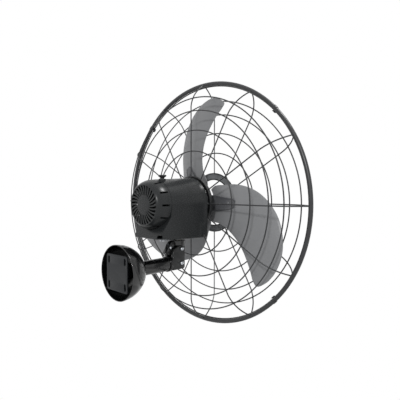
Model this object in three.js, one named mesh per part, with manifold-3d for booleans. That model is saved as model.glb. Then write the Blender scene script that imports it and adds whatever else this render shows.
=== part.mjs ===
// Wall mounted fan: a wall plate and domed canopy carry a round arm, a tilting and swinging neck,
// a motor head with a gearbox and pull knob, a wire grille and a three-bladed rotor.
// Millimetres. +Z is up, the front of the fan faces -Y, and the wall is the plane Y = 0.
// The origin is the middle of the wall plate's back face, on the axis of the arm.

import * as THREE from 'three';
import { mergeVertices } from 'three/addons/utils/BufferGeometryUtils.js';
import Module from 'manifold-3d';

const wasm = await Module();
wasm.setup();

// ---------------------------------------------------------------- driving dimensions

const GAP = 0.3;                  // left between pieces that touch
const RUNNING_GAP = 0.5;          // left between pieces that turn past each other

// wall plate, canopy and arm
const PLATE_WIDTH = 73;
const PLATE_HEIGHT = 76;
const PLATE_THICKNESS = 3;
const PLATE_CORNER = 5;
const SLOT_WIDTH = 6;
const SLOT_HEIGHT = 15;
const SLOT_SPREAD_X = 56.6;
const SLOT_SPREAD_Z = 52;
const SOCKET_LENGTH = 18;
const SOCKET_WALL = 4;
const CANOPY_DIAMETER = 117;
const CANOPY_DEPTH = 61;
const CANOPY_WALL = 1.6;
const GROMMET_WALL = 2.4;
const GROMMET_LENGTH = 6;
const TUBE_DIAMETER = 32;
const TUBE_WALL = 2;
const ARM_REACH = 141;            // wall to the front end of the tube
const END_RING_WIDTH = 6;
const END_RING_WALL = 1.6;
const SET_SCREW_DIAMETER = 5;

// tilting bracket
const FORK_REACH = 29.5;          // end of the tube to the tilt pivot and to the swivel axis
const FORK_WIDTH = 28;
const CHEEK_THICKNESS = 7;
const FORK_PLUG_LENGTH = 24;
const FORK_FLANGE = 4;
const CHEEK_FRONT = 10.5;         // from the pivot forward
const CHEEK_DROP = 14;            // from the pivot down
const CHEEK_TOP_RADIUS = 41;      // the top edge is an arc about the pivot
const CHEEK_BACK_TOP = 24;
const BOLT_DIAMETER = 8;
const BOLT_HEAD_DIAMETER = 13;
const BOLT_HEAD_HEIGHT = 4.5;
const BOLT_END = 3;               // what stands out of the nut
const LOCK_RISE = 33.8;           // pivot to the locking bolt
const TILT_UP = 5;                // degrees
const TILT_DOWN = 25;
const WING_SPAN = 26;
const WING_START = 5;             // from the cheek, clear of the neck's boss
const WING_REACH = 14;
const WING_THICKNESS = 4;
const NUT_DIAMETER = 13;
const NUT_HEIGHT = 6.5;
const NECK_FOOT_RADIUS = 11;
const NECK_BOSS_RADIUS = 18;
const NECK_BOSS_BASE = 42.3;      // heights above the pivot
const NECK_TOP = 53;
const NECK_TAIL_REACH = 42.5;     // from the pivot back to the tip of the tilt stop
const NECK_EYE_WIDTH = 6;

// swivel and its linkage
const SWIVEL_PIN_DIAMETER = 10;
const SWIVEL_BOSS_RADIUS = 8.4;
const WASHER_THICKNESS = 1;
const SWING_LIMIT = 40;           // degrees each way
const CRANK_DISTANCE = 38;        // swivel axis to crank shaft
const STUD_OFFSET = 14;           // swivel axis to the stud on the neck
const LINK_WIDTH = 8.4;
const LINK_EYE_WALL = 2.1;        // round the eye at the crank pin
const LINK_EYE_CLEARANCE = 2.4;   // round the crank pin
const LINK_BOW = 8;               // how far the link bends out round the swivel
const LINK_BOW_REACH = 12;        // from the stud to the bend
const LINK_THICKNESS = 2;
const LINK_PIN_DIAMETER = 4.4;
const CRANK_SHAFT_DIAMETER = 6;

// head: lengths along the fan's axis are measured from the plane of the outer ring,
// with the wall side positive
const AXIS_RISE = 139;            // fan axis above the arm
const HOUSING_FRONT = 57;
const HOUSING_BACK = 160;
const HOUSING_CHIN_BACK = 187;
const HOUSING_WALL = 2.5;
const HOUSING_LIP_RADIUS = 62.5;
const HOUSING_FRONT_RADIUS = 60.6;
const HOUSING_BACK_RADIUS = 56.2;
const HOUSING_BOX_HALF_WIDTH = 62;
const HOUSING_CHIN_HALF_WIDTH = 42;
const HOUSING_BOTTOM = 78;        // below the fan's axis, at the front
const HOUSING_CHIN_BOTTOM = 73.5; // below the fan's axis, at the back
const HOUSING_CORNER = 4;
const CHIN_SLOPE_TOP = 26;        // where the sloping back of the chin starts, below the axis
const CHIN_SLOPE_RUN = 26;        // how far it leans back over the drop below
const CHIN_SLOPE_DROP = 47;
const SKIRT_DEPTH = 22;           // the front cover's box below the round part
const SKIRT_TOP = 42;
const COVER_FLANGE = 2.4;
const COVER_SPIGOT = 4;
const COVER_BOSS_FRONT = 44;
const COVER_BOSS_RADIUS = 30;
const REAR_COVER_BACK = 194.4;
const REAR_COVER_RADIUS = 55;
const REAR_DISC_RADIUS = 44.5;
const REAR_HUB_RADIUS = 19;
const REAR_COVER_WALL = 2.2;
const REAR_SPIGOT = 4;
const SWIRL_VENTS = 28;
const SWIRL_WIDTH = 2.6;
const SWIRL_TURN = 9;             // degrees between the inner and outer end
const SIDE_VENTS = 12;
const SIDE_VENT_WIDTH = 3.4;
const SIDE_VENT_FRONT = 166;
const SIDE_VENT_BACK = 187;
const KNOB_DIAMETER = 19;
const KNOB_STEM_DIAMETER = 9;
const KNOB_TOP = 66.2;
const KNOB_CAP = 3.6;
const KNOB_COLLAR = 57.5;
const KNOB_ROD_DIAMETER = 5;
const COVER_SCREW_HEAD = 6;
const COVER_SCREW_DIAMETER = 3;
const COVER_SCREW_LENGTH = 7;
const COVER_SCREW_STATION = 68;
const COVER_SCREW_RISE = 5;       // above the bottom of the housing

// motor and gearbox
const SHAFT_DIAMETER = 12;
const SHAFT_FRONT = -24;
const SHAFT_BACK = 162;
const STATOR_RADIUS = 46;
const STATOR_FRONT = 78;
const STATOR_BACK = 112;
const ROTOR_RADIUS = 27;
const WINDING_LENGTH = 14;
const BEARING_RADIUS = 14;
const BEARING_WIDTH = 9;
const FRONT_BELL_FRONT = 36;
const BELL_WALL = 3;
const BEARING_BOSS_RADIUS = 18;
const REAR_BELL_BACK = 136;
const REAR_BELL_WEB = 130;
const WORM_RADIUS = 3.4;
const WORM_FRONT = 143;
const WHEEL_OFFSET = 13;          // worm wheel beside the motor shaft
const WHEEL_STATION = 150.6;
const CRANK_SETBACK = 20.1;       // crank shaft in front of the worm wheel's shaft
const WHEEL_TEETH = 20;
const PINION_TEETH = 7;
const WHEEL_SHAFT_DIAMETER = 6;
const CRANK_GEAR_TEETH = 28;
const GEAR_TOOTH = 0.9;           // tooth height above and below the pitch circle
const GEARBOX_TOP = 51;           // below the fan's axis
const GEARBOX_BOTTOM = 66;
const GEARBOX_WALL = 2;
const CAPACITOR_WIDTH = 36;
const CAPACITOR_DEPTH = 22;
const CAPACITOR_HEIGHT = 20;
const CAPACITOR_INSET = 26;       // its middle, from the side of the housing's box

// grille
const GRILLE_DIAMETER = 600;
const HOOP_DIAMETER = 10;
const WIRE_DIAMETER = 3;
const SPOKES = 12;
const RING_INSETS = [168, 117.7, 70.7, 38]; // of the guards' rings, from the hoop's middle line
const REAR_PLANE = 47.3;          // middle of the spokes
const FRONT_PLANE = -37.8;
const REAR_EDGE = 3.5;
const REAR_WELD_INSET = 1.5;      // rear spokes' ends, from the hoop's middle line
const FRONT_EDGE = -4.5;
const SHOULDER_INSET = 59;        // where the spokes start to curve, from the hoop's middle line
const REAR_CENTRE_OUTER = 71;
const REAR_CENTRE_INNER = 57;
const FRONT_CENTRE_OUTER = 76;
const FRONT_CENTRE_INNER = 58;
const CENTRE_RING_THICKNESS = 2;
const CENTRE_RIM = 2;
const SPOKE_LAP = 5;              // how far the spokes lie on the centre rings
const GUARD_POSTS = 3;
const GUARD_POST_RADIUS = 3.5;
const RING_SCREW_HEAD = 6.4;
const RING_SCREW_DIAMETER = 3;
const RING_SCREW_LENGTH = 8;
const CLIPS = 4;
const CLIP_WIDTH = 9;
const CLIP_WALL = 1.2;

// rotor blades
const BLADES = 3;
const BLADE_THICKNESS = 1.8;
const BLADE_CAMBER = 4;
const TIP_ROOM = 30.5;            // from the blades' tips to the inside of the hoop
const HUB_RADIUS = 28;
const HUB_NECK_RADIUS = 12;
const HUB_BACK = 24;
const HUB_FRONT = -4;
const CLAMP_RADIUS = 24;
const CLAMP_THICKNESS = 3;
const SPIDER_PLANE = 9.4;
const SPIDER_THICKNESS = 2;
const SPIDER_DISC_RADIUS = 30;
const SPIDER_ANGLE = -30;         // middle of the first arm, degrees from the top
const SPIDER_EDGE = 1.6;          // how far the arm's edges stand up
const SPIDER_GAP = 0.6;           // between an arm and its blade, whose faces are curved
// Half width of a spider arm at each radius.
const SPIDER_ARM = [[20, 15], [34, 21], [50, 20], [72, 16], [98, 12], [103, 8]];
const RIVET_DIAMETER = 5;
const RIVET_HEAD = 9;
const RIVET_RADIUS = 84;
const CAP_NUT_DIAMETER = 20;

// Blade edges as [radius, degrees from the top towards -X, distance along the axis].
// The leading edge lies nearer the wall, and the tips sweep forward.
const TRAILING_EDGE = [
  [50, -84, -3], [75, -66.5, -6], [100, -57.5, -11], [130, -47.5, -18.5], [160, -38.2, -20.5],
  [190, -28.5, -20], [215, -19.8, -17], [238, -9.8, -11.5], [252, -2, -6], [259.5, 4, -1.5],
];
const LEADING_EDGE = [
  [50, 26, 11], [75, 9, 14], [100, 4.3, 15.2], [130, 4.5, 15.6], [160, 6.9, 15.5],
  [190, 10.7, 14.8], [215, 14, 14], [238, 17, 12], [252, 16.9, 8.5], [259.5, 12.5, 5],
];

// ---------------------------------------------------------------- finishes

function finish(color, roughness, metalness) {
  return new THREE.MeshStandardMaterial({ color, roughness, metalness });
}

const GLOSS_BLACK = finish(0x101012, 0.22, 0.1);
const SATIN_BLACK = finish(0x1c1c1e, 0.45, 0.1);
const CHARCOAL = finish(0x34373a, 0.5, 0.1);
const WIRE_BLACK = finish(0x3a3b3d, 0.45, 0.2);
const PLATE_GREY = finish(0x3e3f42, 0.5, 0.3);
const BLADE_GREY = finish(0x7d7e80, 0.45, 0.1);
const ZINC = finish(0xc8cacc, 0.3, 1);
const STEEL = finish(0x8d9094, 0.35, 1);
const CAST = finish(0x9a9c9e, 0.5, 1);
const COPPER = finish(0xa0522d, 0.4, 1);
const RUBBER = finish(0x151515, 0.9, 0);
const NYLON = finish(0xd9d6cc, 0.6, 0);
const BRASS = finish(0xb08d45, 0.35, 1);

// ---------------------------------------------------------------- solids

const degrees = THREE.MathUtils.degToRad;
const LEFT_TO_FRONT = new THREE.Matrix4().makeBasis(
  new THREE.Vector3(0, 1, 0), new THREE.Vector3(0, 0, 1), new THREE.Vector3(1, 0, 0));
const UPRIGHT = new THREE.Matrix4().makeBasis(
  new THREE.Vector3(1, 0, 0), new THREE.Vector3(0, 0, 1), new THREE.Vector3(0, -1, 0));

// A closed geometry with shared corners, no flat-out triangles and its faces outwards.
function weld(geometry) {
  const bare = new THREE.BufferGeometry();
  bare.setAttribute('position', geometry.getAttribute('position').clone());
  if (geometry.index) bare.setIndex(geometry.index.clone());
  const merged = mergeVertices(bare, 1e-4);
  const place = merged.getAttribute('position');
  const corner = [new THREE.Vector3(), new THREE.Vector3(), new THREE.Vector3()];
  const kept = [];
  let volume = 0;
  for (let i = 0; i < merged.index.count; i += 3) {
    const [a, b, c] = [0, 1, 2].map((k) => merged.index.getX(i + k));
    if (a === b || b === c || c === a) continue;
    [a, b, c].forEach((v, k) => corner[k].fromBufferAttribute(place, v));
    volume += corner[0].dot(corner[1].cross(corner[2]));
    kept.push(a, b, c);
  }
  if (volume < 0) kept.reverse();
  merged.setIndex(kept);
  return merged;
}

function solid(geometry) {
  const welded = weld(geometry);
  return new wasm.Manifold(new wasm.Mesh({
    numProp: 3,
    vertProperties: new Float32Array(welded.getAttribute('position').array),
    triVerts: new Uint32Array(welded.index.array),
  }));
}

function surface(body) {
  const mesh = body.getMesh();
  const geometry = new THREE.BufferGeometry();
  geometry.setAttribute('position', new THREE.BufferAttribute(new Float32Array(mesh.vertProperties), 3));
  geometry.setIndex(new THREE.BufferAttribute(new Uint32Array(mesh.triVerts), 1));
  geometry.computeVertexNormals();
  return geometry;
}

const join = (...bodies) => bodies.reduce((sum, body) => sum.add(body));
const cut = (body, ...tools) => tools.reduce((rest, tool) => rest.subtract(tool), body);

// Box between two corners.
function block(x0, x1, y0, y1, z0, z1) {
  const box = new THREE.BoxGeometry(x1 - x0, y1 - y0, z1 - z0);
  box.translate((x0 + x1) / 2, (y0 + y1) / 2, (z0 + z1) / 2);
  return solid(box);
}

// Turned solids: a cylinder between two stations along X, Y or Z.
function rod(axis, radius, from, to, segments = 16) {
  const cylinder = new THREE.CylinderGeometry(radius, radius, Math.abs(to - from), segments);
  cylinder.translate(0, (from + to) / 2, 0);
  if (axis === 'x') cylinder.rotateZ(-Math.PI / 2);
  if (axis === 'z') cylinder.rotateX(Math.PI / 2);
  return solid(cylinder);
}

// A profile of [station, radius] corners turned about Y; it closes on itself.
function turned(profile, segments = 32) {
  const outline = [...profile, profile[0]].map(([station, radius]) => new THREE.Vector2(radius, station));
  return solid(new THREE.LatheGeometry(outline, segments));
}

function ring(axis, outer, inner, from, to, segments = 24) {
  return cut(rod(axis, outer, from, to, segments), rod(axis, inner, from - 1, to + 1, segments));
}

// A flat outline in the plane of Y and Z, as thick as from x0 to x1.
function sidePlate(outline, x0, x1, curveSegments = 10) {
  const plate = new THREE.ExtrudeGeometry(outline, { depth: x1 - x0, bevelEnabled: false, curveSegments });
  plate.applyMatrix4(LEFT_TO_FRONT);
  plate.translate(x0, 0, 0);
  return solid(plate);
}

// A flat outline in the plane of X and Z, reaching forward from the station back.
function facePlate(outline, back, thickness, curveSegments = 10) {
  const plate = new THREE.ExtrudeGeometry(outline, { depth: thickness, bevelEnabled: false, curveSegments });
  plate.applyMatrix4(UPRIGHT);
  plate.translate(0, back, 0);
  return solid(plate);
}

// A flat outline in the plane of X and Y, from z0 up to z1.
function floorPlate(outline, z0, z1, curveSegments = 10) {
  const plate = new THREE.ExtrudeGeometry(outline, { depth: z1 - z0, bevelEnabled: false, curveSegments });
  plate.translate(0, 0, z0);
  return solid(plate);
}

function roundedRectangle(width, height, corner) {
  const shape = new THREE.Shape();
  const x = width / 2;
  const y = height / 2;
  shape.moveTo(corner - x, -y);
  shape.lineTo(x - corner, -y);
  shape.absarc(x - corner, corner - y, corner, -Math.PI / 2, 0, false);
  shape.absarc(x - corner, y - corner, corner, 0, Math.PI / 2, false);
  shape.absarc(corner - x, y - corner, corner, Math.PI / 2, Math.PI, false);
  shape.absarc(corner - x, corner - y, corner, Math.PI, Math.PI * 1.5, false);
  return shape;
}

// A bar with round ends between two points of the drawing plane.
function slotOutline(from, to, width) {
  const angle = Math.atan2(to[1] - from[1], to[0] - from[0]);
  const radius = width / 2;
  const shape = new THREE.Shape();
  shape.absarc(to[0], to[1], radius, angle - Math.PI / 2, angle + Math.PI / 2, false);
  shape.absarc(from[0], from[1], radius, angle + Math.PI / 2, angle + Math.PI * 1.5, false);
  return shape;
}

// Joins equal rings of corners, first to last, into one closed skin.
function loft(sections) {
  const count = sections[0].length;
  const place = sections.flat(2);
  const index = [];
  for (let s = 0; s + 1 < sections.length; s += 1) {
    for (let i = 0; i < count; i += 1) {
      const a = s * count + i;
      const b = s * count + ((i + 1) % count);
      index.push(a, b, a + count, b, b + count, a + count);
    }
  }
  const last = (sections.length - 1) * count;
  const flat = sections[0].map(([x, , z]) => new THREE.Vector2(x, z));
  THREE.ShapeUtils.triangulateShape(flat, []).forEach(([a, b, c]) => index.push(a, c, b));
  const end = sections[sections.length - 1].map(([x, , z]) => new THREE.Vector2(x, z));
  THREE.ShapeUtils.triangulateShape(end, []).forEach(([a, b, c]) => index.push(last + a, last + b, last + c));
  const geometry = new THREE.BufferGeometry();
  geometry.setAttribute('position', new THREE.Float32BufferAttribute(place, 3));
  geometry.setIndex(index);
  return solid(geometry);
}

// A straight-toothed gear, drawn flat: teeth of equal height inside and outside the pitch circle.
function gearOutline(pitchRadius, teeth) {
  const shape = new THREE.Shape();
  const step = (Math.PI * 2) / teeth;
  const root = pitchRadius - GEAR_TOOTH;
  const tip = pitchRadius + GEAR_TOOTH - GAP * 2;
  for (let i = 0; i < teeth; i += 1) {
    const corners = [[root, 0.28], [tip, 0.12], [tip, -0.12], [root, -0.28]];
    corners.reverse().forEach(([radius, share], k) => {
      const angle = (i + share) * step;
      const point = [radius * Math.cos(angle), radius * Math.sin(angle)];
      if (i === 0 && k === 0) shape.moveTo(...point);
      else shape.lineTo(...point);
    });
  }
  shape.closePath();
  return shape;
}

// Polar place on the fan: degrees run from the top towards -X.
function polar(radius, angle, station) {
  return [-radius * Math.sin(degrees(angle)), station, radius * Math.cos(degrees(angle))];
}

// Adds a named piece to a group.
function part(group, name, body, material) {
  const mesh = new THREE.Mesh(body.isBufferGeometry ? body : surface(body), material);
  mesh.name = name;
  group.add(mesh);
  return mesh;
}

// ---------------------------------------------------------------- wall plate, canopy and arm

const tubeRadius = TUBE_DIAMETER / 2;
const tubeBore = tubeRadius - TUBE_WALL;

function wallPlate() {
  const outline = roundedRectangle(PLATE_WIDTH, PLATE_HEIGHT, PLATE_CORNER);
  for (const x of [-SLOT_SPREAD_X / 2, SLOT_SPREAD_X / 2]) {
    for (const z of [-SLOT_SPREAD_Z / 2, SLOT_SPREAD_Z / 2]) {
      const reach = (SLOT_HEIGHT - SLOT_WIDTH) / 2;
      outline.holes.push(slotOutline([x, z - reach], [x, z + reach], SLOT_WIDTH));
    }
  }
  const bore = tubeRadius + GAP;
  const socketFront = -PLATE_THICKNESS - SOCKET_LENGTH;
  const socket = ring('y', bore + SOCKET_WALL, bore, socketFront, -PLATE_THICKNESS / 2, 20);
  const screwHole = rod('z', SET_SCREW_DIAMETER / 2 + GAP, bore - 2, bore + SOCKET_WALL + 2, 8);
  const drilled = screwHole.translate([0, -PLATE_THICKNESS - SOCKET_LENGTH / 2, 0]);
  return cut(join(facePlate(outline, 0, PLATE_THICKNESS, 3), socket), drilled);
}

// A quarter of an ellipse from the rim at the wall to the collar round the arm.
function canopyProfile(inset) {
  const rim = CANOPY_DIAMETER / 2 - inset;
  const depth = CANOPY_DEPTH - inset;
  const neck = tubeRadius + GAP + GROMMET_WALL;
  const stop = Math.acos(neck / rim);
  const steps = 5;
  const points = [];
  for (let i = 0; i <= steps; i += 1) {
    const angle = (stop * i) / steps;
    points.push([-depth * Math.sin(angle), rim * Math.cos(angle)]);
  }
  return points;
}

function canopy() {
  return turned([...canopyProfile(0), ...canopyProfile(CANOPY_WALL).reverse()], 28);
}

const canopyNeck = tubeRadius + GAP + GROMMET_WALL;
const canopyMouth = -CANOPY_DEPTH * Math.sin(Math.acos(canopyNeck / (CANOPY_DIAMETER / 2)));

function canopyGrommet() {
  const inner = tubeRadius + GAP;
  const seat = canopyNeck - GAP;
  return turned([
    [canopyMouth + GROMMET_LENGTH, inner], [canopyMouth + GROMMET_LENGTH, seat],
    [canopyMouth - GAP, seat], [canopyMouth - GAP, seat + 1.6],
    [canopyMouth - 2, seat + 1], [canopyMouth - 2.4, inner],
  ], 20);
}

function armTube() {
  return ring('y', tubeRadius, tubeBore, -ARM_REACH, -PLATE_THICKNESS - GAP, 20);
}

function armSetScrew() {
  const station = -PLATE_THICKNESS - SOCKET_LENGTH / 2;
  const screw = rod('z', SET_SCREW_DIAMETER / 2, tubeRadius + GAP, tubeRadius + SOCKET_WALL + 2, 8);
  return screw.translate([0, station, 0]);
}

function armEndRing() {
  const inner = tubeRadius + GAP;
  return ring('y', inner + END_RING_WALL, inner, -ARM_REACH, -ARM_REACH + END_RING_WIDTH, 20);
}

// ---------------------------------------------------------------- tilting bracket
// Drawn in Y and Z with the tilt pivot at zero.

const pivotReach = ARM_REACH + FORK_REACH;
const boltBore = BOLT_DIAMETER / 2 + GAP;
const cheekInner = FORK_WIDTH / 2 - CHEEK_THICKNESS;

function armFork() {
  const back = FORK_REACH - GAP;
  const cheekBack = back - FORK_FLANGE / 2;
  const frontTop = Math.sqrt(CHEEK_TOP_RADIUS ** 2 - CHEEK_FRONT ** 2);
  const arcEnd = Math.PI / 2 - Math.asin((cheekBack - FORK_FLANGE) / CHEEK_TOP_RADIUS);
  const outline = new THREE.Shape();
  outline.moveTo(cheekBack, -CHEEK_DROP);
  outline.lineTo(cheekBack, CHEEK_BACK_TOP);
  outline.absarc(0, 0, CHEEK_TOP_RADIUS, arcEnd, Math.PI - Math.atan2(frontTop, CHEEK_FRONT), false);
  outline.lineTo(-CHEEK_FRONT, -CHEEK_DROP + 6);
  outline.absarc(-CHEEK_FRONT + 6, -CHEEK_DROP + 6, 6, Math.PI, Math.PI * 1.5, false);
  outline.closePath();
  const cheeks = sidePlate(outline, -FORK_WIDTH / 2, FORK_WIDTH / 2, 7);
  const flange = rod('y', tubeRadius, back - FORK_FLANGE, back, 16);
  const plug = rod('y', tubeBore - GAP, back - 1, back + FORK_PLUG_LENGTH, 16);
  const rootFront = cheekBack - FORK_FLANGE;
  const rootTop = tubeRadius - 2;
  const slotHigh = block(-cheekInner, cheekInner, -50, 50, rootTop, 60);
  const slotFront = block(-cheekInner, cheekInner, -50, rootFront, -50, 60);
  const pivotHole = rod('x', boltBore, -30, 24);
  const lockHole = pivotHole.translate([0, 0, LOCK_RISE]);
  return cut(join(cheeks, flange, plug), slotHigh, slotFront, pivotHole, lockHole);
}

function bolt() {
  const side = FORK_WIDTH / 2;
  const head = rod('x', BOLT_HEAD_DIAMETER / 2, -side - GAP - BOLT_HEAD_HEIGHT, -side - GAP, 12);
  const shank = rod('x', BOLT_DIAMETER / 2, -side - 1, side + NUT_HEIGHT + BOLT_END, 12);
  return join(head, shank);
}

function pivotNut() {
  const start = FORK_WIDTH / 2 + GAP;
  return cut(rod('x', NUT_DIAMETER / 2, start, start + NUT_HEIGHT, 6), rod('x', boltBore, 0, 60, 12));
}

function wingNut() {
  const start = FORK_WIDTH / 2 + GAP;
  const hub = rod('x', NUT_DIAMETER / 2, start, start + NUT_HEIGHT + 1, 12);
  const half = WING_THICKNESS / 2;
  const wing = block(start + WING_START, start + WING_REACH, 0, WING_SPAN / 2, -half, half);
  return cut(join(hub, wing, wing.rotate([180, 0, 0])), rod('x', boltBore, 0, 60, 12));
}

// The neck: a tongue between the cheeks with an arc slot for the locking bolt, a tail that stops
// against the arm, an eye in the tail, and a round boss on top that the head swings on.
function tiltNeck() {
  const outline = new THREE.Shape();
  outline.absarc(0, 0, NECK_FOOT_RADIUS, Math.PI, Math.PI * 2, false);
  outline.lineTo(14, 6);
  outline.lineTo(20.5, 18);
  outline.lineTo(28.5, 21.2);
  outline.lineTo(NECK_TAIL_REACH, 25);
  outline.lineTo(28.6, 47.5);
  outline.lineTo(24, NECK_TOP - 1.5);
  outline.lineTo(16, NECK_TOP);
  outline.lineTo(-NECK_FOOT_RADIUS, NECK_TOP);
  outline.closePath();
  const arc = new THREE.Path();
  const slotStart = Math.PI / 2 - degrees(TILT_DOWN + 1);
  const slotEnd = Math.PI / 2 + degrees(TILT_UP + 1);
  const endPoint = (angle) => [LOCK_RISE * Math.cos(angle), LOCK_RISE * Math.sin(angle)];
  const [endY, endZ] = endPoint(slotEnd);
  const [startY, startZ] = endPoint(slotStart);
  arc.absarc(0, 0, LOCK_RISE + boltBore, slotStart, slotEnd, false);
  arc.absarc(endY, endZ, boltBore, slotEnd, slotEnd + Math.PI, false);
  arc.absarc(0, 0, LOCK_RISE - boltBore, slotEnd, slotStart, true);
  arc.absarc(startY, startZ, boltBore, slotStart + Math.PI, slotStart + Math.PI * 2, false);
  outline.holes.push(arc);
  outline.holes.push(slotOutline([21.5, 39.5], [24.5, 37], NECK_EYE_WIDTH));
  const half = cheekInner - RUNNING_GAP;
  const tongue = sidePlate(outline, -half, half, 6);
  const boss = rod('z', NECK_BOSS_RADIUS, NECK_BOSS_BASE, NECK_TOP, 20);
  const pinHole = rod('z', SWIVEL_PIN_DIAMETER / 2 + GAP, NECK_BOSS_BASE + 3, NECK_TOP + 1, 12);
  const studHole = rod('z', LINK_PIN_DIAMETER / 2 + GAP, NECK_TOP - 5, NECK_TOP + 1, 8);
  const pivotHole = rod('x', boltBore, -30, 24);
  return cut(join(tongue, boss), pivotHole, pinHole, studHole.translate([STUD_OFFSET, 0, 0]));
}

// ---------------------------------------------------------------- swivel and linkage
// Heights are above the tilt pivot, places are from the swivel axis.

const washerTop = NECK_TOP + GAP + WASHER_THICKNESS;
const socketBottom = washerTop + GAP;
const floorAtSwivel = AXIS_RISE - HOUSING_BOTTOM;
const linkBottom = NECK_TOP + GAP;
const linkTop = linkBottom + LINK_THICKNESS;
const crankBottom = linkTop + GAP;
const crankTop = crankBottom + 3;

function swivelPin() {
  const radius = SWIVEL_PIN_DIAMETER / 2;
  return join(
    rod('z', radius, NECK_BOSS_BASE + 3 + GAP, floorAtSwivel + 18, 16),
    rod('z', radius + 3, floorAtSwivel + 17, floorAtSwivel + 20, 16));
}

function swivelWasher() {
  return ring('z', SWIVEL_BOSS_RADIUS, SWIVEL_PIN_DIAMETER / 2 + GAP, NECK_TOP + GAP, washerTop, 16);
}

function linkStud() {
  const radius = LINK_PIN_DIAMETER / 2;
  return join(
    rod('z', radius, NECK_TOP - 5 + GAP, linkTop + 1, 8),
    rod('z', radius + 1.4, linkTop + GAP, linkTop + GAP + 1.4, 8));
}

// The crank pulls the head to one limit when it lines up with the link, and pushes it to the other.
function studToCrank(swing) {
  const turn = degrees(swing);
  const fold = 2 * STUD_OFFSET * CRANK_DISTANCE * Math.sin(turn);
  return Math.sqrt(STUD_OFFSET ** 2 + CRANK_DISTANCE ** 2 - fold);
}

const linkLength = (studToCrank(-SWING_LIMIT) + studToCrank(SWING_LIMIT)) / 2;
const crankThrow = (studToCrank(-SWING_LIMIT) - studToCrank(SWING_LIMIT)) / 2;
const restReach = studToCrank(0);
const reachAngle = Math.atan2(-CRANK_DISTANCE, STUD_OFFSET);
const crankRest = reachAngle
  + Math.acos((crankThrow ** 2 + restReach ** 2 - linkLength ** 2) / (2 * crankThrow * restReach));
const linkRest = Math.atan2(
  CRANK_DISTANCE + crankThrow * Math.sin(crankRest), crankThrow * Math.cos(crankRest) - STUD_OFFSET);

// Drawn along X from the stud to the crank pin, bent towards -Y round the swivel.
function oscillationLink() {
  const bend = [LINK_BOW_REACH, -LINK_BOW];
  const near = floorPlate(slotOutline([0, 0], bend, LINK_WIDTH), linkBottom, linkTop, 5);
  const far = floorPlate(slotOutline(bend, [linkLength, 0], LINK_WIDTH), linkBottom, linkTop, 5);
  const eyeRadius = LINK_PIN_DIAMETER / 2 + LINK_EYE_CLEARANCE;
  const eye = rod('z', eyeRadius + LINK_EYE_WALL, linkBottom, linkTop, 16).translate([linkLength, 0, 0]);
  const studHole = rod('z', LINK_PIN_DIAMETER / 2 + GAP, 0, 90, 8);
  const pinHole = rod('z', eyeRadius, 0, 90, 12).translate([linkLength, 0, 0]);
  return cut(join(near, far, eye), studHole, pinHole);
}

function oscillationCrank() {
  const arm = floorPlate(slotOutline([0, 0], [crankThrow, 0], LINK_WIDTH), crankBottom, crankTop, 5);
  const pinRod = rod('z', LINK_PIN_DIAMETER / 2, linkBottom - 0.6, crankBottom + 1, 8);
  const pin = pinRod.translate([crankThrow, 0, 0]);
  const hub = rod('z', LINK_WIDTH / 2, crankTop - 1, crankTop + 1, 12);
  const shaft = rod('z', CRANK_SHAFT_DIAMETER / 2, crankTop - 1, AXIS_RISE - GEARBOX_TOP - 4, 12);
  return join(arm, pin, hub, shaft);
}

// ---------------------------------------------------------------- housing of the head

const mix = THREE.MathUtils.lerp;

// Depth of the housing's bottom below the fan's axis.
function bottomAt(station) {
  const share = Math.max((station - HOUSING_FRONT) / (HOUSING_CHIN_BACK - HOUSING_FRONT), 0);
  return mix(HOUSING_BOTTOM, HOUSING_CHIN_BOTTOM, share ** 2);
}

// One section of the housing: a round top running down into a flat-bottomed box.
function housingSection(station, inset) {
  const back = Math.min(Math.max((station - HOUSING_FRONT - 8) / (HOUSING_BACK - HOUSING_FRONT - 8), 0), 1);
  const lip = Math.max(0, 1 - (station - HOUSING_FRONT) / 8);
  const straight = mix(HOUSING_FRONT_RADIUS, HOUSING_BACK_RADIUS, back);
  const radius = mix(straight, HOUSING_LIP_RADIUS, lip) - inset;
  const share = Math.max((station - HOUSING_FRONT) / (HOUSING_CHIN_BACK - HOUSING_FRONT), 0);
  const side = mix(HOUSING_BOX_HALF_WIDTH, HOUSING_CHIN_HALF_WIDTH, share ** 1.3) - inset;
  const bottom = bottomAt(station) - inset;
  const corner = Math.max(HOUSING_CORNER - inset, 2);
  const points = [];
  const arcSteps = 14;
  const below = 8;
  for (let i = 0; i <= arcSteps; i += 1) {
    const angle = degrees(mix(-below, 180 + below, i / arcSteps));
    points.push([radius * Math.cos(angle), station, radius * Math.sin(angle)]);
  }
  for (let i = 0; i <= 2; i += 1) {
    const angle = degrees(mix(180, 270, i / 2));
    const [aside, up] = [corner * Math.cos(angle), corner * Math.sin(angle)];
    points.push([corner - side + aside, station, corner - bottom + up]);
  }
  for (let i = 0; i <= 2; i += 1) {
    const angle = degrees(mix(270, 360, i / 2));
    const [aside, up] = [corner * Math.cos(angle), corner * Math.sin(angle)];
    points.push([side - corner + aside, station, corner - bottom + up]);
  }
  return points;
}

function housingBody(front, back, inset) {
  const stations = [front, HOUSING_FRONT + 8, 100, 145, back];
  return loft(stations.map((station) => housingSection(station, inset)));
}

// Everything behind the round part and above the sloping back of the chin.
function behindChin(shift) {
  const slope = CHIN_SLOPE_RUN / CHIN_SLOPE_DROP;
  const lean = shift * Math.hypot(1, slope);
  const start = HOUSING_BACK - shift;
  const bend = -CHIN_SLOPE_TOP + (lean - shift) / slope;
  const outline = new THREE.Shape();
  outline.moveTo(start, 90);
  outline.lineTo(start, bend);
  outline.lineTo(start + 60 * slope, bend - 60);
  outline.lineTo(start + 90, bend - 60);
  outline.lineTo(start + 90, 90);
  outline.closePath();
  return sidePlate(outline, -90, 90);
}

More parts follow.
